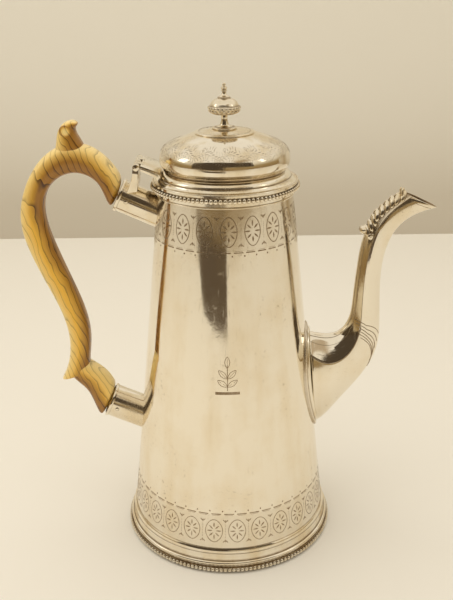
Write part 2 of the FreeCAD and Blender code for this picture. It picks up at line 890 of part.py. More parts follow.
def make_hinge_body_leaf(socket_outside):
    """Plate that stands on the upper socket, drawn in at both sides, and carries the barrel."""
    body = new_body("body_leaf_blank")
    near = size("knuckle_radius") + size("leaf_clearance")
    half = size("leaf_thick") / 2
    drop = size("hinge_rise") + size("upper_socket_radius") * 0.5
    sketch = new_sketch(body, "body_leaf_side", "XZ_Plane")
    draw(
        sketch,
        hinge_point(0.5 + half - 0.9, -near),
        hinge_point(0.5 - half - 0.9, -near),
        hinge_point(-4.6 - half, -drop) + (0.5,),
        hinge_point(-1.8 + half, -drop),
    )
    padded(body, sketch, size("hinge_length"), both_ways=True)
    add_knuckles(body, (0, 2, 4), (-0.4, -near - 0.6))
    relief = new_sketch(body, "body_leaf_relief", "YZ_Plane")
    wide, narrow = size("hinge_length") / 2, size("upper_socket_radius") * 0.9
    high, low = hinge_point(0, -near - 1.2)[1], hinge_point(0, -drop - 1)[1]
    draw(relief, (wide, high), (narrow, low, -1.5), (wide + 2, low), (wide + 2, high))
    draw(relief, (-wide, high, -1.5), (-wide - 2, high), (-wide - 2, low), (-narrow, low))
    trim = body.newObject("PartDesign::Pocket", "body_leaf_trim")
    trim.Profile = relief
    trim.Type = "ThroughAll"
    trim.SideType = "Symmetric"
    return cut("hinge_body_leaf", body, socket_outside)


def make_hinge_pin():
    x, z = hinge_point(as_size(0), as_size(0))
    half = size("hinge_length") / 2 + size("knuckle_gap")
    pin = doc.addObject("Part::Cylinder", "hinge_pin")
    pin.Label = "hinge_pin"
    pin.Placement = Placement(Vector(x.value, half.value, z.value), Rotation(Vector(1, 0, 0), 90))
    bind(pin, "Radius", size("hinge_pin_radius"))
    bind(pin, "Height", 2 * half)
    bind(pin, "Placement.Base.x", x)
    bind(pin, "Placement.Base.y", half)
    bind(pin, "Placement.Base.z", z)
    return pin


def make_pot():
    """Every separate piece of the pot, in the order it is put together."""
    pot_outside = solid_cone("pot_outside", as_size(0))
    pieces = [
        make_body_shell(),
        make_base_disc(),
        make_foot_moulding(),
        make_bead_wire("foot_bead_wire", size("body_low_radius") + size("foot_spread"), size("foot_bead_z")),
        make_rim_moulding(),
        make_bead_wire("rim_bead_wire", rim_seat(), size("body_top_z") - size("rim_bead_drop")),
    ]
    spout_form = make_spout_form()
    pieces.append(cut("spout", spout_form, make_spout_bore(), pot_outside))
    pieces.append(make_spout_collar(pot_outside, spout_form))
    pieces.append(make_spout_leaf(spout_form))
    upper, upper_lip, upper_pin, upper_outside, upper_hole = make_socket("upper", pot_outside)
    lower, lower_lip, lower_pin, _, lower_hole = make_socket("lower", pot_outside)
    pieces += [upper, upper_lip, upper_pin, lower, lower_lip, lower_pin]
    pieces.append(make_handle((upper_hole, lower_hole)))
    lid_flange = make_lid_flange()
    pieces += [lid_flange, make_lid_dome(), make_lid_bezel()]
    pieces += [make_finial_plate(), make_finial(), make_finial_washer(), make_finial_nut()]
    pieces += [make_hinge_body_leaf(upper_outside), make_hinge_lid_leaf(lid_flange), make_hinge_pin()]
    return pieces


def check(pieces):
    for thing in doc.Objects:
        if "Invalid" in thing.State or "Error" in thing.State:
            raise RuntimeError(f"{thing.Label} failed: {thing.getStatusString()}")
    for piece in pieces:
        if piece.Shape.isNull() or not piece.Shape.isValid() or not piece.Shape.Solids:
            raise RuntimeError(f"{piece.Label} has no sound solid")


pot_pieces = make_pot()
doc.recompute()
check(pot_pieces)
os.makedirs("parts", exist_ok=True)
for finished in pot_pieces:
    finished.Shape.exportStep(f"parts/{finished.Label}.step")
    print(finished.Label, len(finished.Shape.Solids), f"{finished.Shape.Volume:.1f}")
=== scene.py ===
import math

import bmesh
import bpy
from mathutils import Matrix, Vector
from mathutils.bvhtree import BVHTree


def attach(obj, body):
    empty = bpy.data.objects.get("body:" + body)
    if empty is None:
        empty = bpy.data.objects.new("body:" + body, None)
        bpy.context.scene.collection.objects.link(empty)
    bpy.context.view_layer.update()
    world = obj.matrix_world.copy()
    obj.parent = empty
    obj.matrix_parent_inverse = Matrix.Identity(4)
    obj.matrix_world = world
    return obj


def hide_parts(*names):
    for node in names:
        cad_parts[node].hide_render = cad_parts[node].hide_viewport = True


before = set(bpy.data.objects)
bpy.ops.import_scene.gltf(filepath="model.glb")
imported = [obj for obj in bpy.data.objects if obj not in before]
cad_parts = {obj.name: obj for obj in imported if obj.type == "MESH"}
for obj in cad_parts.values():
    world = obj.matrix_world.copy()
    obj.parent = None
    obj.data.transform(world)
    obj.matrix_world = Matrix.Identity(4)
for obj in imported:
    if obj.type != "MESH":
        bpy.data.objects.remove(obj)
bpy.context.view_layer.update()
scene = bpy.context.scene

# Camera: a little above the lid and tilted down, where the photograph was taken from.
# Its place, tilt and lens were fitted to the ovals that the foot and the rim make there.
EYE = (0, -0.4331, 0.3080)
LENS, TILT, ROLL = 50.67, 21.54, -0.68
scene.view_settings.view_transform = "Standard"
camera = bpy.data.objects.new("camera", bpy.data.cameras.new("camera"))
camera.data.lens = LENS
camera.matrix_world = (
    Matrix.Translation(EYE)
    @ Matrix.Rotation(math.radians(90 - TILT), 4, "X")
    @ Matrix.Rotation(math.radians(ROLL), 4, "Z")
)
scene.collection.objects.link(camera)
scene.camera = camera

# Room: warm light from all round, dim near the floor and bright above the lid.
# The polished silver mirrors it; past the wall the camera sees a plain pale backdrop instead.
FLOOR_GLOW, CEILING_GLOW = (0.34, 0.23, 0.10, 1), (1.00, 0.91, 0.76, 1)
WALL_GLOW = {0.12: (0.42, 0.30, 0.14, 1), 0.34: (0.86, 0.76, 0.58, 1), 0.60: (1.08, 1.00, 0.86, 1)}
BACKDROP = (0.76, 0.70, 0.57, 1)
ROOM_STRENGTH = 0.84


def node(tree, kind, inputs=None, **settings):
    """A shader node with its settings, and its inputs set or linked."""
    made = tree.nodes.new(kind)
    for name, value in settings.items():
        setattr(made, name, value)
    for name, value in (inputs or {}).items():
        if isinstance(value, bpy.types.NodeSocket):
            tree.links.new(value, made.inputs[name])
        else:
            made.inputs[name].default_value = value
    return made


def mixed(tree, share, first, second):
    """Two colours mixed by a share."""
    inputs = {0: share, 6: first, 7: second}
    return node(tree, "ShaderNodeMix", inputs, data_type="RGBA").outputs[2]


room = bpy.data.worlds.new("warm_room")
room.use_nodes = True
air = room.node_tree
gaze = node(air, "ShaderNodeTexCoord").outputs["Generated"]
level = node(air, "ShaderNodeSeparateXYZ", {0: gaze}).outputs["Z"]
glow = node(air, "ShaderNodeValToRGB", {"Fac": level})
glow.color_ramp.elements[0].color = FLOOR_GLOW
glow.color_ramp.elements[1].color = CEILING_GLOW
for share, colour in WALL_GLOW.items():
    glow.color_ramp.elements.new(share).color = colour
seen = node(air, "ShaderNodeLightPath").outputs["Is Camera Ray"]
background = air.nodes["Background"]
air.links.new(mixed(air, seen, glow.outputs["Color"], BACKDROP), background.inputs["Color"])
background.inputs["Strength"].default_value = ROOM_STRENGTH
scene.world = room

# Table and wall: a pale cloth laid flat under the pot and a plain matt wall behind it.
# They are the stage, and no part of the pot.
SHEET_HALF = 2.5
CLOTH_RUN = ((-2.0, 0), (0.56, 0), (0.575, -0.006))
WALL_RUN = ((0.74, -0.3), (0.74, 0.55))


def bare_finish(name, values):
    """A material whose shader has the given values, with its node tree and that shader."""
    finish = bpy.data.materials.new(name)
    finish.use_nodes = True
    shader = finish.node_tree.nodes["Principled BSDF"]
    for socket, value in values.items():
        shader.inputs[socket].default_value = value
    return finish, finish.node_tree, shader


def stage_sheet(name, bm, finish):
    mesh = bpy.data.meshes.new(name)
    bm.to_mesh(mesh)
    bm.free()
    mesh.materials.append(finish)
    mesh.shade_smooth()
    sheet = bpy.data.objects.new(name, mesh)
    scene.collection.objects.link(sheet)
    return sheet


def points_of(geom):
    return [item for item in geom if isinstance(item, bmesh.types.BMVert)]


def pulled_sheet(run):
    """A wide sheet with the given side view, given as distances back and up in metres."""
    bm = bmesh.new()
    fold = [bm.verts.new((-SHEET_HALF, *point)) for point in run]
    edges = [bm.edges.new(pair) for pair in zip(fold, fold[1:])]
    wide = bmesh.ops.extrude_edge_only(bm, edges=edges)["geom"]
    bmesh.ops.translate(bm, vec=(2 * SHEET_HALF, 0, 0), verts=points_of(wide))
    return bm


for name, run, colour in (
    ("table_cloth", CLOTH_RUN, (0.90, 0.875, 0.82, 1)), ("back_wall", WALL_RUN, (0.94, 0.93, 0.88, 1)),
):
    matt = bare_finish(name, {"Base Color": colour, "Roughness": 0.9})[0]
    stage_sheet(name, pulled_sheet(run), matt)

# Lamp: one broad soft disc, high on the left, that lays the faint shadow on the cloth.
# The silver doesn't mirror it.
LAMP_PLACE, LAMP_LEAN = (-0.25, -0.05, 0.95), -14
lamp = bpy.data.objects.new("overhead_lamp", bpy.data.lights.new("overhead_lamp", "AREA"))
lamp.data.shape = "DISK"
lamp.data.size = 0.9
lamp.data.energy = 2.4
lamp.data.color = (1.0, 0.95, 0.86)
lean = Matrix.Rotation(math.radians(LAMP_LEAN), 4, "Y")
lamp.matrix_world = Matrix.Translation(LAMP_PLACE) @ lean
lamp.visible_glossy = False
scene.collection.objects.link(lamp)

# Boards round the table, out of the picture, which only the polished silver mirrors.
# They make the dark strip on the body, the dark patch on the dome and the bright glints.
DOOR, STAND = (0.06, 0.041, 0.024), (0.10, 0.069, 0.041)
BROWN, SKY = (0.33, 0.21, 0.08), (1.9, 1.8, 1.6)


def mirrored_board(name, middle, width, height, facing, tone, strength=1.0, soft=0.0, tuck=0.0):
    """A faintly glowing board with soft sides, whose left foot is tucked in by so many metres."""
    bm = bmesh.new()
    shade = bm.verts.layers.float.new("shade")
    bmesh.ops.create_grid(bm, x_segments=16, y_segments=4, size=0.5)
    for vert in bm.verts:
        x, y = vert.co.x, vert.co.y
        edge = min(1.0, (0.5 - abs(x)) / soft) if soft else 1.0
        vert[shade] = strength * edge * edge * (3 - 2 * edge)
        vert.co.x += tuck / width * (0.5 - x) * (0.5 - y)
    place = Matrix.Translation(middle) @ Matrix.Rotation(math.radians(-facing), 4, "Z")
    place = place @ Matrix.Rotation(math.radians(90), 4, "X")
    place = place @ Matrix.Diagonal((width, height, 1, 1))
    bmesh.ops.transform(bm, matrix=place, verts=bm.verts)
    finish, tree, shader = bare_finish(name, {
        "Base Color": (0, 0, 0, 1), "Roughness": 1.0, "Emission Color": (*tone, 1),
        "Emission Strength": 1.0,
    })
    fade = node(tree, "ShaderNodeAttribute", attribute_name="shade")
    tree.links.new(fade.outputs["Fac"], shader.inputs["Alpha"])
    board = stage_sheet(name, bm, finish)
    board.visible_camera = False
    board.visible_diffuse = False
    board.visible_shadow = False


mirrored_board("camera_stand", (-0.34, -0.62, 0.072), 0.70, 0.115, 0, STAND, tuck=0.30)
mirrored_board("dark_door", (-0.80, -1.0, 0.70), 1.60, 1.06, 0, DOOR)
mirrored_board("dark_shelf", (0.60, -1.0, 0.77), 1.20, 0.76, 0, DOOR)
mirrored_board("ceiling_beam", (0.46, -0.62, 1.10), 0.70, 0.50, -36, BROWN, 0.7, 0.4)
mirrored_board("left_curtain", (-0.80, 0.42, 0.16), 0.75, 0.50, 117, BROWN, 0.5, 0.5)
mirrored_board("right_curtain", (0.78, 0.52, 0.16), 0.45, 0.50, -123, BROWN, 0.6, 0.5)
mirrored_board("left_window", (-1.0, -0.10, 0.80), 0.40, 0.50, 84, SKY, 1.0, 0.2)
mirrored_board("right_window", (1.0, -0.28, 0.85), 0.22, 0.40, -74, SKY, 1.0, 0.2)

# Body: one sheet of silver rolled to a taper, seamed, planished and polished.
# It stands on the ledge of the foot and carries everything else. All sizes are in millimetres.
FOOT_Z, RIM_Z, FOOT_RADIUS, RIM_RADIUS, WALL = 3.0, 204.0, 56.4, 34.95, 0.7
BROAD_STEPS = 192
# the engraved bands lie below and above these heights, where the ground has dulled a little
LOW_BAND, HIGH_BAND, BAND_FADE, BAND_DULL = 33.2, 177.6, 0.6, 0.10
# the last colour is brown for tarnish and for painted shade in hollows and gaps
BRIGHT, SMEARED, STAIN_AND_SHADE = (0.89, 0.83, 0.71, 1), (0.80, 0.69, 0.50, 1), (0.21, 0.125, 0.05, 1)


def body_radius(z):
    return FOOT_RADIUS - (FOOT_RADIUS - RIM_RADIUS) * (z - FOOT_Z) / (RIM_Z - FOOT_Z)


def outline(corners):
    """Points along an outline in millimetres. A third number makes the side that ends at that
    corner an arc, which bulges to the left of the way it is drawn by that much."""
    points = [Vector(corners[0][:2])]
    for corner in corners[1:]:
        end = Vector(corner[:2])
        if len(corner) == 3:
            start, rise = points[-1], corner[2]
            chord = end - start
            square = Vector((-chord.y, chord.x)) / chord.length
            centre = (start + end) / 2 + square * (rise / 2 - chord.length_squared / (8 * rise))
            turn = -4 * math.atan(2 * rise / chord.length)
            count = max(3, round(abs(turn) / 0.17))
            spoke = start - centre
            turns = [Matrix.Rotation(turn * k / count, 2) for k in range(1, count)]
            points += [centre + part @ spoke for part in turns]
        points.append(end)
    return points


def turned(corners, steps=160, dark=(), closed=True):
    """A piece turned about the upright axis. The corners numbered in dark get tarnish and painted
    shade.
    """
    bm = bmesh.new()
    recess = bm.verts.layers.float.new("recess")
    tarnish_and_shade = [Vector(corners[index][:2]) for index in dark]
    verts = []
    for point in outline(corners):
        vert = bm.verts.new((point.x, 0, point.y))
        # the dark corners get tarnish and painted shade through the recess mark
        vert[recess] = float(any((point - spot).length < 1e-5 for spot in tarnish_and_shade))
        verts.append(vert)
    edges = [bm.edges.new(pair) for pair in zip(verts, verts[1:])]
    if closed:
        edges.append(bm.edges.new((verts[-1], verts[0])))
    bmesh.ops.spin(
        bm, geom=verts + edges, cent=(0, 0, 0), axis=(0, 0, 1), angle=2 * math.pi, steps=steps,
        use_merge=True,
    )
    bmesh.ops.remove_doubles(bm, verts=bm.verts, dist=1e-4)
    bmesh.ops.recalc_face_normals(bm, faces=bm.faces)
    return bm


def fitted(name, bm, finish, body, *nodes, slot="silver", sharp=38):
    """Turns a mesh drawn in millimetres into a piece that rides on a body and stands for nodes."""
    bmesh.ops.transform(bm, matrix=Matrix.Scale(0.001, 4), verts=bm.verts)
    mesh = bpy.data.meshes.new(name)
    bm.to_mesh(mesh)
    bm.free()
    mesh.shade_smooth()
    mesh.set_sharp_from_angle(angle=math.radians(sharp))
    mesh.materials.append(finish)
    piece = bpy.data.objects.new(name, mesh)
    scene.collection.objects.link(piece)
    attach(piece, body)
    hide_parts(*nodes)
    return piece


def maths(tree, operation, *values):
    """The result of one sum on values or sockets."""
    return node(tree, "ShaderNodeMath", dict(enumerate(values)), operation=operation).outputs[0]


def ranged(tree, value, low, high, to_low=0.0, to_high=1.0):
    """A value moved from one range to another and held inside it."""
    ends = {"From Min": low, "From Max": high, "To Min": to_low, "To Max": to_high}
    return node(tree, "ShaderNodeMapRange", {"Value": value, **ends}).outputs["Result"]


def noise(tree, place, scale, detail, roughness=0.5):
    grain = {"Scale": scale, "Detail": detail, "Roughness": roughness}
    return node(tree, "ShaderNodeTexNoise", {"Vector": place, **grain}).outputs["Fac"]


def stretched(tree, place, scale, turn=(0.0, 0.0, 0.0)):
    change = {"Vector": place, "Rotation": turn, "Scale": scale}
    return node(tree, "ShaderNodeMapping", change).outputs["Vector"]


def hand_polish():
    """Node group for silver that has been rubbed for two centuries: soft smears, hair scratches, a few
    pits, and brown tarnish with painted shade where the recess mark says, in hollows and gaps that no
    cloth reaches and where shade falls."""
    group = bpy.data.node_groups.new("hand_polish", "ShaderNodeTree")
    for name, kind, way in (
        ("Recess", "NodeSocketFloat", "INPUT"), ("Smear", "NodeSocketFloat", "INPUT"),
        ("Colour", "NodeSocketColor", "OUTPUT"), ("Roughness", "NodeSocketFloat", "OUTPUT"),
        ("Height", "NodeSocketFloat", "OUTPUT"),
    ):
        group.interface.new_socket(name, in_out=way, socket_type=kind)
    given = node(group, "NodeGroupInput").outputs
    place = node(group, "ShaderNodeTexCoord").outputs["Object"]
    cloud = noise(group, place, 38.0, 5.0, 0.62)
    grit = noise(group, place, 420.0, 3.0, 0.7)
    hairs = []
    for turn, stretch in (((0.5, 0.2, 0.9), (90, 1500, 120)), ((1.1, 0.7, 0.3), (1300, 110, 90))):
        hair = noise(group, stretched(group, place, stretch, turn), 1.0, 1.0)
        hairs.append(ranged(group, hair, 0.66, 0.74))
    scratch = maths(group, "MAXIMUM", *hairs)
    streak = noise(group, stretched(group, place, (1.0, 1.0, 0.1)), 90.0, 3.0)
    rubbed = ranged(group, maths(group, "ADD", cloud, streak), 0.88, 1.32)
    smear = maths(group, "MULTIPLY", rubbed, given["Smear"])
    patchy = maths(group, "MULTIPLY_ADD", ranged(group, grit, 0.3, 0.7), 0.35, 0.68)
    # tarnish and painted shade: the recess mark, broken up by grit, pulls the colour towards brown
    recess_tarnish_and_shade = maths(group, "MULTIPLY", given["Recess"], patchy)
    pits = ranged(group, noise(group, place, 520.0, 2.0), 0.62, 0.72)
    pitted = maths(group, "MULTIPLY", pits, ranged(group, cloud, 0.48, 0.66, 0.0, 0.34))
    tarnish_and_shade = maths(group, "MAXIMUM", recess_tarnish_and_shade, pitted)
    colour = mixed(group, tarnish_and_shade, mixed(group, smear, BRIGHT, SMEARED), STAIN_AND_SHADE)
    dull = maths(group, "MULTIPLY_ADD", smear, 0.16, 0.055)
    scuffed = maths(group, "MULTIPLY_ADD", scratch, 0.10, dull)
    rough = maths(group, "MULTIPLY_ADD", tarnish_and_shade, 0.35, scuffed)
    relief = maths(group, "MULTIPLY_ADD", scratch, -0.12, cloud)
    node(group, "NodeGroupOutput", {"Colour": colour, "Roughness": rough, "Height": relief})
    return group


polish = hand_polish()


def dress(tree, shader, colour, roughness, height, strength, depth):
    """Joins a colour, a roughness and a fine relief to a shader."""
    relief = {"Strength": strength, "Distance": depth, "Height": height}
    bump = node(tree, "ShaderNodeBump", relief)
    tree.links.new(colour, shader.inputs["Base Color"])
    tree.links.new(roughness, shader.inputs["Roughness"])
    tree.links.new(bump.outputs["Normal"], shader.inputs["Normal"])


def silver_finish(name, smear):
    finish, tree, shader = bare_finish(name, {"Metallic": 1.0})
    mark = node(tree, "ShaderNodeAttribute", attribute_name="recess").outputs["Fac"]
    rubbed = node(tree, "ShaderNodeGroup", {"Smear": smear, "Recess": mark}, node_tree=polish).outputs
    dress(tree, shader, rubbed["Colour"], rubbed["Roughness"], rubbed["Height"], 0.12, 0.0004)
    return finish


sheet_silver = silver_finish("sheet_silver", 0.8)
worn_silver = silver_finish("worn_silver", 1.6)
cast_silver = silver_finish("cast_silver", 1.3)
marks = (LOW_BAND, LOW_BAND + BAND_FADE, HIGH_BAND - BAND_FADE, HIGH_BAND)
shell = turned((
    (FOOT_RADIUS - WALL, FOOT_Z), (FOOT_RADIUS, FOOT_Z), *((body_radius(z), z) for z in marks),
    (RIM_RADIUS, RIM_Z), (RIM_RADIUS - WALL, RIM_Z),
), BROAD_STEPS)
recess = shell.verts.layers.float["recess"]
for vert in shell.verts:
    plain = LOW_BAND + BAND_FADE / 2 < vert.co.z < HIGH_BAND - BAND_FADE / 2
    vert[recess] = 0.0 if plain else BAND_DULL
fitted("body_shell_sheet", shell, sheet_silver, "pot", "body_shell")

# Engraved bands: cut by hand with a graver into the sheet at the top and bottom of the body.
# Ovals with eight petals stand between husks, edged by a line of dashes and dots.
# each: ovals round it, turn of the first, height of their middles, half width, half height,
# width of the cut, then height and number of the dashes, and the side on which their dots lie
BANDS = {
    "lower": (27, 0.08, 23.9, 4.9, 6.9, 0.40, 34.0, 48, 1),
    "upper": (19, 0.04, 187.0, 4.4, 7.6, 0.48, 176.6, 38, -1),
}


def engraved_leaf(bm, x, y, half_width, half_length, turn=0.0, line=None, sides=8, pinch=0.45):
    """A pointed leaf in the flat, cut as an outline where a line width is given."""
    place = Matrix.Translation((x, y, 0)) @ Matrix.Rotation(turn, 4, "Z")
    leaf = bmesh.ops.create_circle(bm, cap_ends=True, radius=1, segments=sides)["verts"]
    face = leaf[0].link_faces[0]
    for vert in leaf:
        along = vert.co.y
        across = vert.co.x * half_width * (1 - pinch * along * along)
        vert.co = place @ Vector((across, along * half_length, 0))
    if line:
        bmesh.ops.inset_region(
            bm, faces=[face], thickness=line, use_boundary=True, use_even_offset=True
        )
        bmesh.ops.delete(bm, geom=[face], context="FACES")


def engraved_dash(bm, x, y, half_width, half_height, turn=0.0):
    place = Matrix.Translation((x, y, 0)) @ Matrix.Rotation(turn, 4, "Z")
    place = place @ Matrix.Diagonal((half_width, half_height, 1, 1))
    pieces = max(1, round(half_width / 0.5))
    bmesh.ops.create_grid(bm, x_segments=pieces, y_segments=1, size=1, matrix=place)


def bite(bm, lift=0.03, depth=0.12):
    """Gives flat cuts a thin body that straddles the surface, and marks them as tarnished."""
    recess = bm.verts.layers.float.new("recess")
    for vert in bm.verts:
        vert.co.z = -depth
        vert[recess] = 0.9
    risen = bmesh.ops.extrude_face_region(bm, geom=bm.faces[:], use_keep_orig=True)["geom"]
    for vert in points_of(risen):
        vert.co.z = lift
    bmesh.ops.recalc_face_normals(bm, faces=bm.faces)


def wrap(bm, radius_at):
    """Bends a flat drawing, upright along y, round the front of a turned piece."""
    for vert in bm.verts:
        radius = radius_at(vert.co.y)
        angle = vert.co.x / radius
        out = radius + vert.co.z
        vert.co = (out * math.sin(angle), -out * math.cos(angle), vert.co.y)


def round_and_round(bm, count):
    """Repeats what is drawn evenly round the upright axis."""
    bmesh.ops.spin(
        bm, geom=bm.verts[:] + bm.edges[:] + bm.faces[:], cent=(0, 0, 0), axis=(0, 0, 1),
        angle=2 * math.pi * (count - 1) / count, steps=count - 1, use_duplicate=True,
    )


for band, row in BANDS.items():
    count, start, middle, half_width, half_height, cut, edge_z, dashes, side = row
    half_pitch = math.pi * body_radius(middle) / count
    bm = bmesh.new()
    engraved_leaf(bm, 0, middle, half_width, half_height, line=cut, sides=28, pinch=0.12)
    for petal in range(8):
        turn = petal * math.pi / 4
        reach = half_height * (0.52 if petal % 4 == 0 else 0.44)
        across, above = -0.78 * reach * math.sin(turn), reach * math.cos(turn)
        engraved_leaf(bm, across, middle + above, cut, 1.5, turn)
    for end in (-1, 1):
        top = middle + end * half_height
        engraved_leaf(bm, half_pitch, top - end * 1.1, 0.34, 1.0)
        for lean in (-0.7, 0.7):
            engraved_leaf(bm, half_pitch - lean * 1.2, top - end * 0.7, 0.3, 0.9, lean * end)
    for step in range(-4, 5):
        engraved_dash(bm, half_pitch, middle + step * 0.95, 0.12, 0.24)
    bite(bm)
    wrap(bm, body_radius)
    round_and_round(bm, count)
    bmesh.ops.rotate(bm, cent=(0, 0, 0), matrix=Matrix.Rotation(start, 3, "Z"), verts=bm.verts)
    fitted(f"{band}_engraved_ovals", bm, sheet_silver, "pot")

    bm = bmesh.new()
    pitch = 2 * math.pi * body_radius(edge_z) / dashes
    engraved_dash(bm, 0, edge_z, pitch * 0.38, 0.3)
    engraved_dash(bm, 0, edge_z - side * 0.75, pitch * 0.3, 0.09)
    engraved_leaf(bm, pitch / 2, edge_z + side * 1.7, 0.42, 0.5, pinch=0)
    bite(bm)
    wrap(bm, body_radius)
    round_and_round(bm, dashes)
    fitted(f"{band}_engraved_edge", bm, sheet_silver, "pot")

# Sprig: a small engraving on the front of the body, half way between the bands.
# Five leaves on a stem stand over a short bar, all cut with a graver.
# each leaf: its middle across and up, and its turn
SPRIG = (
    (-2.6, 108.5, 0.95), (2.6, 108.5, -0.95), (-2.4, 113.4, 0.75), (2.4, 113.4, -0.75),
    (0, 120.0, 0),
)
bm = bmesh.new()
engraved_dash(bm, 0, 103.2, 6.4, 0.75)
engraved_dash(bm, 0, 111.5, 0.22, 7.0)
for x, y, turn in SPRIG:
    engraved_leaf(bm, x, y, 1.5, 3.2, turn, 0.32, 12)
    engraved_dash(bm, x, y, 0.1, 2.2, turn)
bite(bm)
wrap(bm, body_radius)
fitted("engraved_sprig", bm, sheet_silver, "pot")

# Foot: a stepped band of drawn silver, soldered round the bottom of the body, with a let-in base.
# Its lowest edge carries a wire struck into a row of round beads.
SEAT = FOOT_RADIUS + 1.2
FOOT_HOLE, FOOT_TOP = 53.5, 13.4
foot = turned((
    (FOOT_HOLE, 0), (SEAT, 0), (SEAT, 3.4), (SEAT + 0.3, 4.3, 0.25), (SEAT + 0.1, 6.4, -0.8),
    (SEAT - 0.4, 6.4), (SEAT - 0.85, 10.4, 0.2), (SEAT - 1.15, 10.6),
    (body_radius(FOOT_TOP) + 0.4, FOOT_TOP, -0.4), (body_radius(FOOT_TOP), FOOT_TOP),
    (FOOT_RADIUS, FOOT_Z), (FOOT_HOLE, FOOT_Z),
), BROAD_STEPS, dark=(2, 5, 7, 9))
fitted("foot_moulded_band", foot, worn_silver, "pot", "foot_moulding")


def beads(centre_radius, height, size, count, tall):
    """A row of round beads whose sides and backs, near the seat, get tarnish and painted shade."""
    bm = bmesh.new()
    recess = bm.verts.layers.float.new("recess")
    place = Matrix.Translation((0, -centre_radius, height)) @ Matrix.Diagonal((1, 1, tall, 1))
    bmesh.ops.create_uvsphere(bm, u_segments=10, v_segments=6, radius=size, matrix=place)
    for vert in bm.verts:
        outward = (-centre_radius - vert.co.y) / size
        # painted shade and tarnish: darker towards the sides and the back of each bead
        vert[recess] = max(0.0, min(1.0, 1.0 - 1.8 * outward))
    round_and_round(bm, count)
    return bm


def refinished(name, finish):
    """Gives a finish to a solid that keeps its own shape."""
    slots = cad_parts[name].data.materials
    slots.clear()
    slots.append(finish)


wire = ((SEAT, 1.0), (SEAT + 0.6, 1.1), (SEAT + 0.6, 2.7, -0.2), (SEAT, 2.8))
foot_wire = turned(wire, BROAD_STEPS, dark=(0, 3))
fitted("foot_wire_core", foot_wire, cast_silver, "pot", "foot_bead_wire")
foot_beads = beads(58.82, 1.95, size=1.14, count=160, tall=1.1)
fitted("foot_beads", foot_beads, cast_silver, "pot", sharp=180)
refinished("base_disc", sheet_silver)

# Rim: a narrow stepped band of drawn silver, soldered round the mouth of the body.
# A beaded wire like that of the foot runs round it under the lid's edge.
RIM_SEAT = RIM_RADIUS + 1.75
RIM_LOW = RIM_Z - 5.8
RIM_EDGE = body_radius(RIM_LOW)
rim = turned((
    (RIM_EDGE, RIM_LOW), (RIM_EDGE + 0.5, RIM_LOW), (RIM_EDGE + 0.5, RIM_LOW + 0.9, -0.3),
    (RIM_EDGE + 0.3, RIM_LOW + 1.1), (RIM_SEAT - 0.3, RIM_LOW + 1.3),
    (RIM_SEAT - 0.3, RIM_LOW + 3.0), (RIM_SEAT, RIM_LOW + 3.2), (RIM_SEAT, RIM_Z),
    (RIM_RADIUS, RIM_Z),
), dark=(0, 3, 6))
fitted("rim_moulded_band", rim, worn_silver, "pot", "rim_moulding")
BEAD_Z = RIM_Z - 1.35
rim_wire = turned((
    (RIM_SEAT, BEAD_Z - 1.05), (RIM_SEAT + 0.6, BEAD_Z - 1.0), (RIM_SEAT + 0.6, BEAD_Z + 1.0, -0.2),
    (RIM_SEAT, BEAD_Z + 1.05),
), dark=(0, 3))
fitted("rim_wire_core", rim_wire, cast_silver, "pot", "rim_bead_wire")
rim_beads = beads(38.02, BEAD_Z - 0.1, size=1.1, count=104, tall=1.25)
fitted("rim_beads", rim_beads, cast_silver, "pot", sharp=180)

# Spout: a hollow swan neck raised in two halves and soldered along its seams, with a hollowed
# face along its inner side and a duck-bill mouth cut on the slant.
SPOUT_Z, SPOUT_WALL = 92.0, 0.8
LEAF_ROOT = 8
# each station: top edge out and up, bottom edge out and up, half width, and the angle in degrees
# from the top at which the ridge beside the hollowed face stands
NECK = (
    (-1.5, 26.4, 2.0, -31.4, 13.8, 50), (3.4, 25.6, 8.6, -27.5, 13.6, 62),
    (9.6, 24.6, 17.1, -15.5, 12.2, 74), (16.6, 26.3, 29.6, -1.2, 10.0, 76),
    (20.9, 33.5, 37.4, 13.2, 8.2, 70), (22.0, 40.6, 38.6, 25.5, 7.5, 66),
    (22.4, 48.0, 37.8, 39.0, 7.0, 66), (23.7, 65.0, 36.6, 61.5, 6.3, 68),
    (26.3, 83.3, 39.9, 78.5, 6.0, 70), (32.6, 94.2, 45.9, 88.3, 5.7, 68),
    (40.6, 101.6, 54.6, 93.8, 5.2, 62), (47.1, 105.0, 65.1, 96.6, 4.6, 54),
)
RIDGE = math.pi / 4


def neck_place(station, angle, inset=0.0):
    """A point of the neck's skin at an angle from the top of a station's section."""
    out_top, up_top, out_low, up_low, half_width, ridge = station
    top = Vector((body_radius(SPOUT_Z) + out_top, 0, SPOUT_Z + up_top))
    bottom = Vector((body_radius(SPOUT_Z) + out_low, 0, SPOUT_Z + up_low))
    middle, upward = (top + bottom) / 2, (top - bottom) / 2
    ridge = math.radians(ridge)
    share = abs(angle) / RIDGE
    if share < 1:
        rise = math.cos(ridge) + (1 - math.cos(ridge)) * (1 - share ** 1.3)
        side = math.sin(ridge) * share
    else:
        bent = ridge + (math.pi - ridge) * (share - 1) / 3
        rise, side = math.cos(bent), math.sin(bent)
    upward = upward * (1 - inset / upward.length)
    sideways = Vector((0, half_width - inset, 0)) * math.copysign(side, angle)
    return middle + upward * rise + sideways


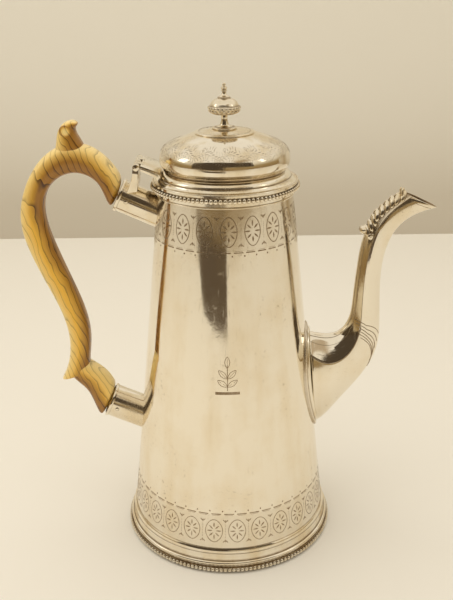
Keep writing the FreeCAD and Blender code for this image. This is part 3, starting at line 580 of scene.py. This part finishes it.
def skin(bm, stations, place, sides=32):
    """Draws a ring at the first station and pulls it along the others.
    Returns the edges of the first and of the last ring."""
    layers = bm.verts.layers.float
    around = layers.get("around") or layers.new("around")
    along = layers.get("along") or layers.new("along")
    ring = bmesh.ops.create_circle(bm, segments=sides, radius=1)["verts"]
    for vert in ring:
        vert[around] = math.atan2(vert.co.x, vert.co.y)
    first = edges = list(dict.fromkeys(edge for vert in ring for edge in vert.link_edges))
    for vert in ring:
        vert.co = place(stations[0], vert[around])
    for number, station in enumerate(stations[1:], 1):
        pulled = bmesh.ops.extrude_edge_only(bm, edges=edges)["geom"]
        pulled_edges = [item for item in pulled if isinstance(item, bmesh.types.BMEdge)]
        edges = [edge for edge in pulled_edges if len(edge.link_faces) == 1]
        for vert in points_of(pulled):
            vert.co = place(station, vert[around])
            vert[along] = number
    return first, edges


def smoothed(piece, levels):
    rounding = piece.modifiers.new("rounding", "SUBSURF")
    rounding.levels = rounding.render_levels = levels
    return piece


bm = bmesh.new()
walls = [(station, 0.0) for station in NECK]
walls += [(station, SPOUT_WALL) for station in reversed(NECK)]
root_ring, bore_ring = skin(bm, walls, lambda wall, angle: neck_place(wall[0], angle, wall[1]))
bmesh.ops.bridge_loops(bm, edges=root_ring + bore_ring)
crease = bm.edges.layers.float.new("crease_edge")
around = bm.verts.layers.float["around"]
along = bm.verts.layers.float["along"]
recess = bm.verts.layers.float.new("recess")
# painted shade: the neck under the leaf is darkened as if shaded by it, and the bore is darkened all
# through
for vert in bm.verts:
    under_leaf = LEAF_ROOT < vert[along] < len(NECK) and abs(vert[around]) < 0.7
    vert[recess] = 0.75 if under_leaf else float(vert[along] >= len(NECK))
mouth_top, mouth_low = neck_place(NECK[-1], 0.0), neck_place(NECK[-1], math.pi)
slant = (mouth_low - mouth_top).normalized()
square = Vector((-slant.z, 0, slant.x))
for edge in bm.edges:
    if all(abs(abs(vert[around]) - RIDGE) < 0.01 for vert in edge.verts):
        edge[crease] = 1.0
    if all(abs((vert.co - mouth_top).dot(square)) < 0.01 for vert in edge.verts):
        edge[crease] = 0.9
bmesh.ops.recalc_face_normals(bm, faces=bm.faces)
spout = smoothed(fitted("spout_neck", bm, sheet_silver, "pot", "spout", sharp=180), 2)

# Chased lines on the spout: nested pleats round the elbow, a line under the lip, a line along each
# ridge and reeds in the hollowed face. All were struck into the finished neck with a tracing punch.
PLEATS = [
    (
        (70.6 + 0.6 * k, 126.5 - 1.9 * k), (76.5 + 0.5 * k, 124.0 - 2.4 * k, 0.5),
        (84.2 - 1.1 * k, 117.5 - 4.0 * k, 1.6),
    )
    for k in range(6)
]
LIP = ((95.2, 194.6), (103.5, 190.2, -0.4), (110.4, 187.9, -0.2))
bpy.context.view_layer.update()
spout_skin = BVHTree.FromObject(spout, bpy.context.evaluated_depsgraph_get())


def cut_lines(name, runs, thick, kind, capped):
    """Thin cuts along runs of points, marked as tarnished."""
    line = bpy.data.curves.new(name, "CURVE")
    line.dimensions = "3D"
    line.bevel_depth = thick / 2
    line.bevel_resolution = 1
    line.use_fill_caps = capped
    for points in runs:
        run = line.splines.new(kind)
        run.points.add(len(points) - 1)
        run.use_endpoint_u = True
        run.order_u = 4
        for spot, point in zip(run.points, points):
            spot.co = (*point, 1)
    drawn = bpy.data.objects.new(name, line)
    bm = bmesh.new()
    bm.from_mesh(drawn.to_mesh())
    bpy.data.objects.remove(drawn)
    recess = bm.verts.layers.float.new("recess")
    for vert in bm.verts:
        vert[recess] = 0.9
    fitted(name, bm, sheet_silver, "pot", sharp=180)


def chased(name, strokes, thick):
    """Lines drawn in the side view and pressed onto both sides of the neck."""
    runs = []
    for stroke in strokes:
        for side in (-1, 1):
            starts = [Vector((point.x, 200 * side, point.y)) / 1000 for point in outline(stroke)]
            hits = [spout_skin.ray_cast(start, Vector((0, -side, 0)))[0] for start in starts]
            runs.append([hit * 1000 for hit in hits if hit])
    cut_lines(name, [run for run in runs if len(run) > 2], thick, "POLY", True)


def neck_reeds(name, angles, thick):
    """Lines that run the length of the neck at the given angles from its top."""
    runs = [[neck_place(station, angle) for station in NECK] for angle in angles]
    cut_lines(name, runs, thick, "NURBS", False)


chased("spout_pleats", PLEATS, 0.5)
neck_reeds("spout_ridge_lines", (RIDGE, -RIDGE), 0.34)
neck_reeds("spout_reeds", (RIDGE / 2, -RIDGE / 2, RIDGE / 4, -RIDGE / 4), 0.22)
chased("spout_lip_line", [LIP], 0.3)

# Collar: a moulded oval frame of drawn silver, bent to the body and soldered round the root of the
# spout. It has a low outer bead and a higher inner roll, with tarnish and painted shade in the groove
# between them.
COLLAR_HALF_WIDTH, COLLAR_HALF_HEIGHT = 19.8, 31.5
COLLAR_GROOVE = 0.75
# each step across the frame: distance in from its edge, and height above the body
COLLAR = (
    (0, -0.3), (0, 0.5), (0.35, 1.1), (1.0, 1.35), (1.7, 1.1), (2.2, COLLAR_GROOVE),
    (2.6, COLLAR_GROOVE), (2.8, 1.5), (3.4, 2.15), (4.2, 2.3), (4.9, 1.9), (5.5, 1.2), (6.6, 1.0),
    (6.6, -0.3),
)


def collar_place(step, angle):
    inward, lift = step
    y = (COLLAR_HALF_WIDTH - inward) * math.sin(angle)
    z = SPOUT_Z + (COLLAR_HALF_HEIGHT - inward) * math.cos(angle)
    reach = body_radius(z) + lift
    return Vector((math.sqrt(reach * reach - y * y), y, z))


bm = bmesh.new()
first, last = skin(bm, COLLAR, collar_place, 96)
recess = bm.verts.layers.float.new("recess")
for vert in bm.verts:
    lift = math.hypot(vert.co.x, vert.co.y) - body_radius(vert.co.z)
    # tarnish and painted shade in the groove and where the frame meets the body
    vert[recess] = 0.95 * max(0.0, 1 - abs(lift - COLLAR_GROOVE) / 0.5, 1 - abs(lift) / 0.5)
bmesh.ops.bridge_loops(bm, edges=first + last)
bmesh.ops.recalc_face_normals(bm, faces=bm.faces)
fitted("spout_oval_collar", bm, worn_silver, "pot", "spout_collar", sharp=60)

# Leaf: a cast curl of slanting lobes, soldered astride the neck behind the mouth,
# with a rolled knob and two curls at its root and an upright tip.
LOBES = 9
crest = [neck_place(station, 0.0) for station in NECK[LEAF_ROOT:]]
bm = bmesh.new()
bm.verts.layers.float.new("recess")


def lobe(bm, start, end, broad, thick, outward):
    """A swelling fold from one point to another, with tarnish and painted shade in the valleys along
    its sides.
    """
    recess = bm.verts.layers.float["recess"]
    along = (end - start).normalized()
    across = along.cross(outward).normalized()
    axes = Matrix((along, across, across.cross(along))).transposed().to_4x4()
    lengths = ((end - start).length / 2, broad, thick, 1)
    ball = bmesh.ops.create_uvsphere(bm, u_segments=14, v_segments=8, radius=1)["verts"]
    for vert in ball:
        # painted shade and tarnish towards the sides of each lobe
        vert[recess] = max(0.0, min(0.8, 2.6 * (abs(vert.co.y) - 0.62)))
    place = Matrix.Translation((start + end) / 2) @ axes @ Matrix.Diagonal(lengths)
    bmesh.ops.transform(bm, matrix=place, verts=ball)


crest_length = sum((above - below).length for below, above in zip(crest, crest[1:]))
for step in range(LOBES):
    walk = crest_length * (step + 0.75) / LOBES
    for below, above in zip(crest, crest[1:]):
        if walk <= (above - below).length:
            break
        walk -= (above - below).length
    along = (above - below).normalized()
    upward = Vector((-along.z, 0, along.x))
    spot = below + along * walk
    for side in (-1, 1):
        flank = Vector((0, side, 0))
        top = spot + upward * 0.7 + along * 1.7 + flank * 0.4
        hem = spot - upward * 3.3 - along * 3.0 + flank * 3.9
        lobe(bm, top, hem, 1.65, 1.2, (upward + flank).normalized())
knob = crest[0] + Vector((0.4, 0, 1.4))
roll = Vector((0, 4.0, 0))
lobe(bm, knob - roll, knob + roll, 2.5, 2.2, Vector((0, 0, 1)))
for side in (-1, 1):
    curl = knob + Vector((3.3, side * 4.7, -2.8))
    for size, thick in ((1.9, 0.7), (0.8, 1.1)):
        half = Vector((size, 0, 0))
        lobe(bm, curl - half, curl + half, size, thick, Vector((0, side, 0)))
for lean, side in ((0.0, -1.6), (1.0, 0.0), (0.0, 1.6)):
    low = crest[-1] + Vector((-1.4 + lean * 0.6, side * 1.4, -3.0))
    high = crest[-1] + Vector((-1.4 + lean, side, 2.4))
    lobe(bm, low, high, 1.3, 0.8, Vector((1, 0, 0)))
fitted("spout_cast_leaf", bm, cast_silver, "pot", "spout_leaf", sharp=180)

# Handle sockets: two plain tubes of rolled silver, cut to the body and soldered on, each with a
# wired lip. A rivet through each holds the tenon of the handle.
# each: height and upward angle where its axis leaves the body, length and radius
SOCKETS = {"upper": (188.6, 24.5, 21.4, 8.4), "lower": (68.8, 24.0, 19.7, 9.2)}
SOCKET_WALL, ROOT_DEPTH, RIVET_DEPTH = 0.8, 0.35, 5
SOCKET_STEPS = 64


def socket_frame(end):
    """Axes of a socket: the middle of its mouth, with local Z pointing out along it."""
    height, angle, length, _ = SOCKETS[end]
    turn = math.radians(angle)
    out = body_radius(height) + length * math.cos(turn)
    mouth = Matrix.Translation((-out, 0, height + length * math.sin(turn)))
    return mouth @ Matrix.Rotation(-(math.pi / 2 - turn), 4, "Y")


for end, (_, _, length, radius) in SOCKETS.items():
    place = socket_frame(end)
    axis = (place.to_3x3() @ Vector((0, 0, 1))).normalized()
    bore, root = radius - SOCKET_WALL, -length - radius
    tube = turned(((bore, root), (radius, root), (radius, 0), (bore, 0)), SOCKET_STEPS)
    bmesh.ops.transform(tube, matrix=place, verts=tube.verts)
    for vert in tube.verts:
        if (place.inverted() @ vert.co).z < -length:
            for _ in range(60):
                reach = math.hypot(vert.co.x, vert.co.y)
                vert.co += axis * (body_radius(vert.co.z) - ROOT_DEPTH - reach) * 0.9
    fitted(f"{end}_socket_tube", tube, worn_silver, "pot", f"{end}_socket")
    lip = turned((
        (radius, -1.8), (radius + 0.45, -1.6), (radius + 0.45, -0.2, -0.15), (radius, 0),
    ), SOCKET_STEPS, dark=(0,))
    bmesh.ops.transform(lip, matrix=place, verts=lip.verts)
    fitted(f"{end}_socket_wire", lip, cast_silver, "pot", f"{end}_socket_lip")
    rivet = turned((
        (0, -radius - 0.35), (0.7, -radius - 0.3), (1.1, -radius), (1.1, radius),
        (0.7, radius + 0.3), (0, radius + 0.35),
    ), 24, dark=(2, 3), closed=False)
    crosswise = Matrix.Translation((0, 0, -RIVET_DEPTH)) @ Matrix.Rotation(math.pi / 2, 4, "X")
    bmesh.ops.transform(rivet, matrix=place @ crosswise, verts=rivet.verts)
    fitted(f"{end}_rivet", rivet, cast_silver, "pot", f"{end}_handle_pin")

# Handle: a scroll carved from one piece of figured yellow wood, oiled and polished, with a thumb
# volute on its crown and a spur and a beard at its foot. Round tenons run into the sockets.
UPPER, LOWER = (socket_frame(end).translation.copy() for end in ("upper", "lower"))
DOWN = (LOWER - UPPER).normalized()
OUT = Vector((DOWN.z, 0, -DOWN.x))
SPAN = (LOWER - UPPER).length
SCROLL_HALF, SPUR_HALF, TAIL_HALF = 6.4, 3.4, 6.3
TENON_EASE, TENON_LONG, TENON_MIDDLE = 0.95, 12.4, -6.0
WOOD_SIDES = 24
# each station: share of the way down and distance out, for the outer and then the inner edge
SCROLL = (
    (-0.119, 2.3, 0.006, 7.1), (-0.166, 7.7, -0.048, 10.4), (-0.204, 15.8, -0.078, 16.3),
    (-0.214, 25.0, -0.085, 23.0), (-0.182, 33.7, -0.068, 29.2), (-0.125, 41.7, -0.034, 34.3),
    (-0.025, 48.2, 0.021, 38.1), (0.094, 51.6, 0.092, 38.8), (0.213, 50.4, 0.185, 36.3),
    (0.376, 40.9, 0.346, 27.2), (0.492, 32.7, 0.483, 19.1), (0.587, 27.1, 0.578, 14.4),
    (0.684, 23.6, 0.677, 11.8), (0.786, 23.5, 0.780, 12.5), (0.845, 25.0, 0.815, 12.3),
    (0.894, 27.3, 0.842, 12.5), (0.906, 27.9, 0.852, 12.9),
)
TAIL = (
    (0.880, 22.5, 0.800, 15.5), (0.890, 21.5, 0.800, 14.5), (0.916, 18.2, 0.824, 8.5),
    (0.952, 12.4, 0.858, 2.3), (1.034, 8.2, 0.901, -1.4),
)
# the thumb volute, a bud that rises from the crown and rolls over towards the lid
# each station: left edge along and up, right edge along and up, half width
BUD = (
    (-88.0, 218.5, -70.0, 218.0, 6.0), (-86.4, 224.2, -73.0, 225.4, 5.7),
    (-85.8, 228.4, -75.2, 228.8, 5.3), (-84.6, 232.4, -76.0, 231.2, 5.2),
    (-81.6, 235.6, -76.0, 232.6, 5.0), (-77.6, 236.6, -75.2, 233.6, 4.6),
    (-75.0, 235.4, -74.7, 234.3, 3.2),
)
# the second colour is a pale tone painted along the outer edge as a highlight
YELLOW, PAINTED_EDGE_SHEEN = (0.93, 0.55, 0.06, 1), (0.97, 0.76, 0.32, 1)
HEARTWOOD, GROWTH_LINE = (0.27, 0.10, 0.012, 1), (0.075, 0.028, 0.005, 1)
STEM_PLACE, STEM_LEAN, STEM_STRETCH = (-0.078, 0.0, 0.150), (0.0, -0.36, 0.0), (1.0, 0.8, 6.0)
MID_HEIGHT = 0.135


def handle_point(share, out):
    return UPPER + DOWN * SPAN * share + OUT * out


def wood_shoulder(end, above, below):
    """The station where the wood butts against the mouth of a socket."""
    across = socket_frame(end).to_3x3() @ Vector((1, 0, 0))
    mouth = socket_frame(end).translation
    return mouth + across * above, mouth - across * below, SOCKETS[end][3] - 0.2


def wood_place(station, angle):
    """A point of a full, slightly flat-sided section."""
    top, low, half_width = station
    full = 1.06 - 0.06 * math.cos(4 * angle)
    sideways = Vector((0, half_width, 0)) * math.sin(angle)
    return (top + low) / 2 + (top - low) / 2 * math.cos(angle) * full + sideways * full


def mark_grain_and_sheen(bm):
    """Notes how far each point lies towards the outer edge, which is painted paler as a highlight."""
    around = bm.verts.layers.float["around"]
    outer = bm.verts.layers.float.new("outer_edge")
    for vert in bm.verts:
        vert[outer] = math.cos(vert[around])


def figured_wood():
    """Yellow wood with brown growth lines along a leaning stem, browner on the inner side of the
    scroll and towards both its ends, and painted pale along its outer edge as a highlight."""
    finish, tree, shader = bare_finish("figured_wood", {"Coat Weight": 0.2, "Coat Roughness": 0.16})
    place = node(tree, "ShaderNodeTexCoord").outputs["Object"]
    outer = node(tree, "ShaderNodeAttribute", attribute_name="outer_edge").outputs["Fac"]
    stem = node(tree, "ShaderNodeMapping", {
        "Vector": place, "Location": STEM_PLACE, "Rotation": STEM_LEAN, "Scale": STEM_STRETCH,
    }, vector_type="TEXTURE").outputs["Vector"]
    ring = node(tree, "ShaderNodeVectorMath", {0: stem}, operation="LENGTH").outputs["Value"]
    sway = noise(tree, stretched(tree, place, (1.0, 1.0, 0.5)), 85.0, 2.5)
    years = maths(tree, "MULTIPLY_ADD", ring, 350.0, maths(tree, "MULTIPLY", sway, 3.0))
    crisp = maths(tree, "POWER", ranged(tree, maths(tree, "FRACT", years), 0.45, 0.97), 3.2)
    finer = maths(tree, "FRACT", maths(tree, "MULTIPLY", years, 3.0))
    lines = maths(tree, "MAXIMUM", crisp, maths(tree, "MULTIPLY", finer, 0.16))
    patch = noise(tree, place, 24.0, 2.0)
    height = node(tree, "ShaderNodeSeparateXYZ", {0: place}).outputs["Z"]
    away = maths(tree, "ABSOLUTE", maths(tree, "SUBTRACT", height, MID_HEIGHT))
    ends = ranged(tree, away, 0.02, 0.07, -0.15, 0.28)
    heart = maths(tree, "MULTIPLY_ADD", outer, -0.6, maths(tree, "ADD", ends, patch))
    brown = ranged(tree, heart, 0.42, 0.90)
    drawn = maths(tree, "MULTIPLY", lines, maths(tree, "MULTIPLY_ADD", brown, 0.62, 0.50))
    # painted highlight: the outer edge is mixed towards the pale tone
    yellow = mixed(tree, ranged(tree, outer, 0.0, 0.85), YELLOW, PAINTED_EDGE_SHEEN)
    warm = mixed(tree, maths(tree, "MULTIPLY", brown, 0.82), yellow, HEARTWOOD)
    base = mixed(tree, drawn, warm, GROWTH_LINE)
    pores = noise(tree, stretched(tree, place, (900, 900, 60), (0.0, 0.24, 0.0)), 1.0, 2.0)
    gloss = ranged(tree, pores, 0.0, 1.0, 0.24, 0.40)
    dress(tree, shader, base, gloss, pores, 0.1, 0.0003)
    return finish


scroll = [wood_shoulder("upper", 8.4, 9.8)]
scroll += [(handle_point(*row[:2]), handle_point(*row[2:]), SCROLL_HALF) for row in SCROLL]
outer, inner, _ = scroll[-1]
scroll.append((outer * 0.75 + inner * 0.25, outer * 0.25 + inner * 0.75, SPUR_HALF))
tail = [(handle_point(*row[2:]), handle_point(*row[:2]), TAIL_HALF) for row in TAIL]
tail.append(wood_shoulder("lower", 9.2, 13.0))
bud = [(Vector((row[0], 0, row[1])), Vector((row[2], 0, row[3])), row[4]) for row in BUD]


def carve(bm, stations):
    for edges in skin(bm, stations, wood_place, WOOD_SIDES):
        bmesh.ops.edgeloop_fill(bm, edges=edges)


bm = bmesh.new()
carve(bm, scroll)
carve(bm, tail)
for end, (_, _, _, radius) in SOCKETS.items():
    bmesh.ops.create_cone(
        bm, cap_ends=True, segments=32, radius1=radius - TENON_EASE, radius2=radius - TENON_EASE,
        depth=TENON_LONG, matrix=socket_frame(end) @ Matrix.Translation((0, 0, TENON_MIDDLE)),
    )
carve(bm, bud)
bmesh.ops.recalc_face_normals(bm, faces=bm.faces)
wood = figured_wood()
mark_grain_and_sheen(bm)
smoothed(fitted("handle_carved_scroll", bm, wood, "pot", "handle", slot="wood", sharp=180), 2)

# Volute eyes: the low round boss on each side of the thumb volute.
# They are carved in one with the handle, where the roll ends.
BOSS_X, BOSS_Y, BOSS_Z, BOSS_SIZE, BOSS_LIFT = -80.6, 4.5, 231.3, 3.2, 1.2
bm = bmesh.new()
around = bm.verts.layers.float.new("around")
for side in (-1, 1):
    place = Matrix.Translation((BOSS_X, side * BOSS_Y, BOSS_Z))
    place = place @ Matrix.Diagonal((BOSS_SIZE, BOSS_LIFT, BOSS_SIZE, 1))
    bmesh.ops.create_uvsphere(bm, u_segments=28, v_segments=14, radius=1, matrix=place)
for vert in bm.verts:
    # the middle of each boss takes the painted pale highlight and its rim the browner tone
    vert[around] = 2.0 * math.hypot(vert.co.x - BOSS_X, vert.co.z - BOSS_Z) / BOSS_SIZE
mark_grain_and_sheen(bm)
fitted("handle_volute_eyes", bm, wood, "pot", slot="wood", sharp=180)

# Hinge: a stand-away hinge of five knuckles on one pin. The pot's leaf stands on the upper socket,
# and the lid's leaf slopes down to the flange; both are thick cast plates, filed and soldered on.
HINGE = Vector((-RIM_RADIUS - 10.05, 0, RIM_Z + 10.0))
HINGE_HALF, HINGE_EASE, KNUCKLE, KNUCKLE_GAP = 13.0, 0.25, 1.8, 0.2
KNUCKLE_LONG = (2 * HINGE_HALF - 4 * KNUCKLE_GAP) / 5
NEAR, TOE = KNUCKLE + 0.5, 12.3


def plate(side_view):
    """A plate with the given side view, drawn from the hinge's axis, with softened edges."""
    bm = bmesh.new()
    points = [HINGE + Vector((p.x, -HINGE_HALF, p.y)) for p in outline(side_view)]
    face = bm.faces.new([bm.verts.new(point) for point in points])
    pulled = bmesh.ops.extrude_face_region(bm, geom=[face], use_keep_orig=True)["geom"]
    bmesh.ops.translate(bm, vec=(0, 2 * HINGE_HALF, 0), verts=points_of(pulled))
    bmesh.ops.recalc_face_normals(bm, faces=bm.faces)
    bmesh.ops.bevel(
        bm, geom=bm.edges[:], offset=HINGE_EASE, segments=2, profile=0.5, affect="EDGES",
        material=-1, clamp_overlap=True,
    )
    bmesh.ops.remove_doubles(bm, verts=bm.verts, dist=1e-4)
    return bm


def knuckle(bm, number, toe):
    """One ring of the barrel, with the strap that joins it to its leaf."""
    middle = -HINGE_HALF + number * (KNUCKLE_LONG + KNUCKLE_GAP) + KNUCKLE_LONG / 2
    place = Matrix.Translation(HINGE + Vector((0, middle, 0)))
    barrel = bmesh.ops.create_cone(
        bm, cap_ends=True, segments=32, radius1=KNUCKLE, radius2=KNUCKLE, depth=KNUCKLE_LONG,
        matrix=place @ Matrix.Rotation(math.pi / 2, 4, "X"),
    )["verts"]
    edges = dict.fromkeys(edge for vert in barrel for edge in vert.link_edges)
    ends = [edge for edge in edges if abs(edge.verts[0].co.y - edge.verts[1].co.y) < 0.01]
    bmesh.ops.bevel(
        bm, geom=ends, offset=HINGE_EASE, segments=2, profile=0.5, affect="EDGES", material=-1
    )
    toe = Vector((toe[0], 0, toe[1]))
    strap = place @ Matrix.Translation(toe / 2)
    strap = strap @ Matrix.Rotation(math.atan2(toe.x, toe.z), 4, "Y")
    strap = strap @ Matrix.Diagonal((2 * KNUCKLE * 0.86, KNUCKLE_LONG - 0.02, toe.length, 1))
    bmesh.ops.create_cube(bm, size=1, matrix=strap)


bm = plate(((-1.7, -NEAR), (0.9, -NEAR), (-0.5, -13.6, 0.3), (-5.9, -14.2), (-1.7, -NEAR, -0.5)))
for vert in bm.verts:
    share = max(0.0, min(1.0, (HINGE.z - vert.co.z - 3.5) / 9.0))
    vert.co.y *= 1 - 0.42 * share * share * (3 - 2 * share)
for number in (0, 2, 4):
    knuckle(bm, number, (-0.4, -NEAR - 0.6))
fitted("hinge_pot_leaf", bm, cast_silver, "pot", "hinge_body_leaf", sharp=30)
bm = plate((
    (NEAR, 1.17), (NEAR, -1.56), (TOE - 2.6, -4.88), (TOE - 1.0, -7.9), (TOE, -7.9), (TOE, -2.6),
))
for number in (1, 3):
    knuckle(bm, number, (NEAR + 0.8, -0.6))
fitted("hinge_lid_plate", bm, cast_silver, "lid", "hinge_lid_leaf", sharp=30)
pin = turned((
    (0, -HINGE_HALF - 0.35), (0.5, -HINGE_HALF - 0.35), (0.8, -HINGE_HALF - 0.2),
    (0.8, HINGE_HALF + 0.2), (0.5, HINGE_HALF + 0.35), (0, HINGE_HALF + 0.35),
), 20, closed=False)
crosswise = Matrix.Translation(HINGE) @ Matrix.Rotation(math.pi / 2, 4, "X")
bmesh.ops.transform(pin, matrix=crosswise, verts=pin.verts)
fitted("hinge_steel_pin", pin, cast_silver, "pot", "hinge_pin")

# Lid: a moulded flange that rests on the rim, a dome raised from sheet and soldered to it,
# and a bezel under it that centres the lid in the mouth.
LID_Z, LID_WALL = RIM_Z + 0.3, 0.7
FLANGE = RIM_RADIUS + 3.05
FLANGE_HOLE = FLANGE - 7.5
DOME_Z = LID_Z + 6.1
NECK_RADIUS = FLANGE_HOLE + LID_WALL
BULGE, BULGE_Z = NECK_RADIUS + 2.6, DOME_Z + 7.0
SHOULDER, SHOULDER_Z = BULGE - 4.8, DOME_Z + 13.8
DOME_TOP = DOME_Z + 18.8
PLATE = 15.3
LAND = PLATE + 0.6
SHANK_HOLE = 1.75
flange = turned((
    (FLANGE_HOLE, LID_Z), (FLANGE, LID_Z), (FLANGE, LID_Z + 1.0), (FLANGE - 0.6, LID_Z + 1.5, -0.2),
    (FLANGE - 3.1, LID_Z + 3.0, 0.5), (FLANGE - 3.6, LID_Z + 3.2),
    (NECK_RADIUS + 0.4, DOME_Z - 0.2, -0.6), (NECK_RADIUS + 0.1, DOME_Z), (FLANGE_HOLE, DOME_Z),
), dark=(3, 5, 7))
fitted("lid_moulded_flange", flange, worn_silver, "lid", "lid_flange")
dome_outside = (
    (NECK_RADIUS, DOME_Z), (NECK_RADIUS + 0.7, DOME_Z + 0.6, 0.1), (BULGE - 0.4, DOME_Z + 3.0, 0.2),
    (BULGE, BULGE_Z, -0.3), (SHOULDER, SHOULDER_Z, -1.2), (LAND, DOME_TOP, -0.1),
    (SHANK_HOLE, DOME_TOP),
)
dome_inside = (
    (SHANK_HOLE, DOME_TOP - LID_WALL), (LAND - 0.25, DOME_TOP - LID_WALL),
    (SHOULDER - 0.27, SHOULDER_Z - LID_WALL, 0.1), (BULGE - LID_WALL, BULGE_Z, 1.1),
    (BULGE - LID_WALL - 0.4, DOME_Z + 3.3, 0.25), (FLANGE_HOLE, DOME_Z + 1.0, -0.15),
    (FLANGE_HOLE, DOME_Z),
)
dome = turned(dome_outside + dome_inside, dark=(0, 1))
fitted("lid_raised_dome", dome, worn_silver, "lid", "lid_dome")
refinished("lid_bezel", sheet_silver)

# Wreath: running sprays of small leaves along a waving stem, round the shoulder of the dome.
# They are cut with a graver and half worn away by polishing.
WREATH_Z, WREATH_RADIUS, SPRAYS, STEPS = 222.8, 29.5, 16, 9
dome_line = [p for p in outline(dome_outside) if p.y >= BULGE_Z and p.x >= LAND]


def dome_radius(z):
    for below, above in zip(dome_line, dome_line[1:]):
        if below.y <= z <= above.y:
            return below.x + (above.x - below.x) * (z - below.y) / (above.y - below.y)
    return dome_line[-1].x


bm = bmesh.new()
pitch = 2 * math.pi * WREATH_RADIUS / SPRAYS
for step in range(STEPS):
    share = step / STEPS - 0.5
    x, y = pitch * share, WREATH_Z + math.sin(2 * math.pi * share)
    slope = math.cos(2 * math.pi * share) * 0.5
    engraved_dash(bm, x, y, pitch / (2 * STEPS), 0.06, slope)
    for side in (-1, 1):
        engraved_leaf(bm, x + side * 0.3, y + side * 0.95, 0.13, 0.85, slope - side * 0.8 - 0.25)
        engraved_leaf(bm, x + 0.5 + side * 0.2, y + side * 2.3, 0.12, 0.6, slope + side * 0.5 - 0.3)
engraved_leaf(bm, 0, WREATH_Z + 2.6, 0.6, 0.6, line=0.12, pinch=0)
bite(bm, 0.04, 0.1)
wrap(bm, dome_radius)
round_and_round(bm, SPRAYS)
fitted("dome_engraved_wreath", bm, sheet_silver, "lid")

# Finial: a cast baluster on a stepped plate, with a beaded and gadrooned bowl and small knops up to
# a ball. Its shank goes through the dome to a washer and a square nut.
PLATE_TOP = DOME_TOP + 2.0
TALL, STEM, BASE, TIP, SHANK_LOW = 22.9, 1.6, 6.2, 0.95, 224.7
CAP, KNOP, RING, SPIRE = STEM * 2.1, STEM * 0.62, STEM * 0.95, STEM * 0.45
disc = turned((
    (SHANK_HOLE, DOME_TOP), (PLATE, DOME_TOP), (PLATE, DOME_TOP + 0.7, -0.25),
    (PLATE - 0.7, DOME_TOP + 0.9), (6.6, PLATE_TOP, 0.3), (SHANK_HOLE, PLATE_TOP),
), 120, dark=(1,))
fitted("finial_stepped_plate", disc, worn_silver, "lid", "finial_plate")


def up(share):
    return PLATE_TOP + TALL * share


baluster = turned((
    (0, SHANK_LOW), (STEM, SHANK_LOW), (STEM, PLATE_TOP), (BASE, PLATE_TOP),
    (BASE, up(0.035), -0.25), (BASE - 1.8, up(0.057)), (STEM + 0.6, up(0.115), 0.6),
    (STEM, up(0.225), 0.1), (STEM + 0.7, up(0.325), 0.15), (7.6, up(0.415), -0.9),
    (7.9, up(0.455), -0.15), (7.4, up(0.5), -0.15), (CAP, up(0.665), -0.9), (CAP, up(0.685)),
    (STEM * 1.7, up(0.71)), (KNOP, up(0.795), 0.5), (KNOP, up(0.815)), (RING, up(0.82)),
    (RING, up(0.84)), (SPIRE, up(0.845)), (SPIRE, up(0.92), -STEM * 0.52),
    (TIP * 0.6, up(1) - TIP * 1.8), (0, up(1), -TIP * (1 - math.sqrt(0.1))),
), 72, dark=(3, 5, 8, 11, 13, 16, 19, 21), closed=False)
fitted("finial_baluster", baluster, cast_silver, "lid", "finial")
bowl_beads = beads(7.75, up(0.465), size=0.82, count=26, tall=0.85)
fitted("finial_bowl_beads", bowl_beads, cast_silver, "lid", sharp=180)
bm = bmesh.new()
bm.verts.layers.float.new("recess")
inner_end, outer_end = Vector((0, -3.1, up(0.322))), Vector((0, -8.4, up(0.412)))
lobe(bm, inner_end, outer_end, 0.92, 0.85, Vector((0, -0.4, -0.9)))
round_and_round(bm, 20)
fitted("finial_bowl_gadroons", bm, cast_silver, "lid", sharp=180)
bm = bmesh.new()
engraved_leaf(bm, 0, -13.2, 0.16, 0.6, 0.9)
bite(bm, 0.06, 0.12)
bmesh.ops.translate(bm, vec=(0, 0, DOME_TOP + 0.95), verts=bm.verts)
round_and_round(bm, 34)
fitted("plate_engraved_ring", bm, sheet_silver, "lid")
refinished("finial_washer", cast_silver)
refinished("finial_nut", cast_silver)
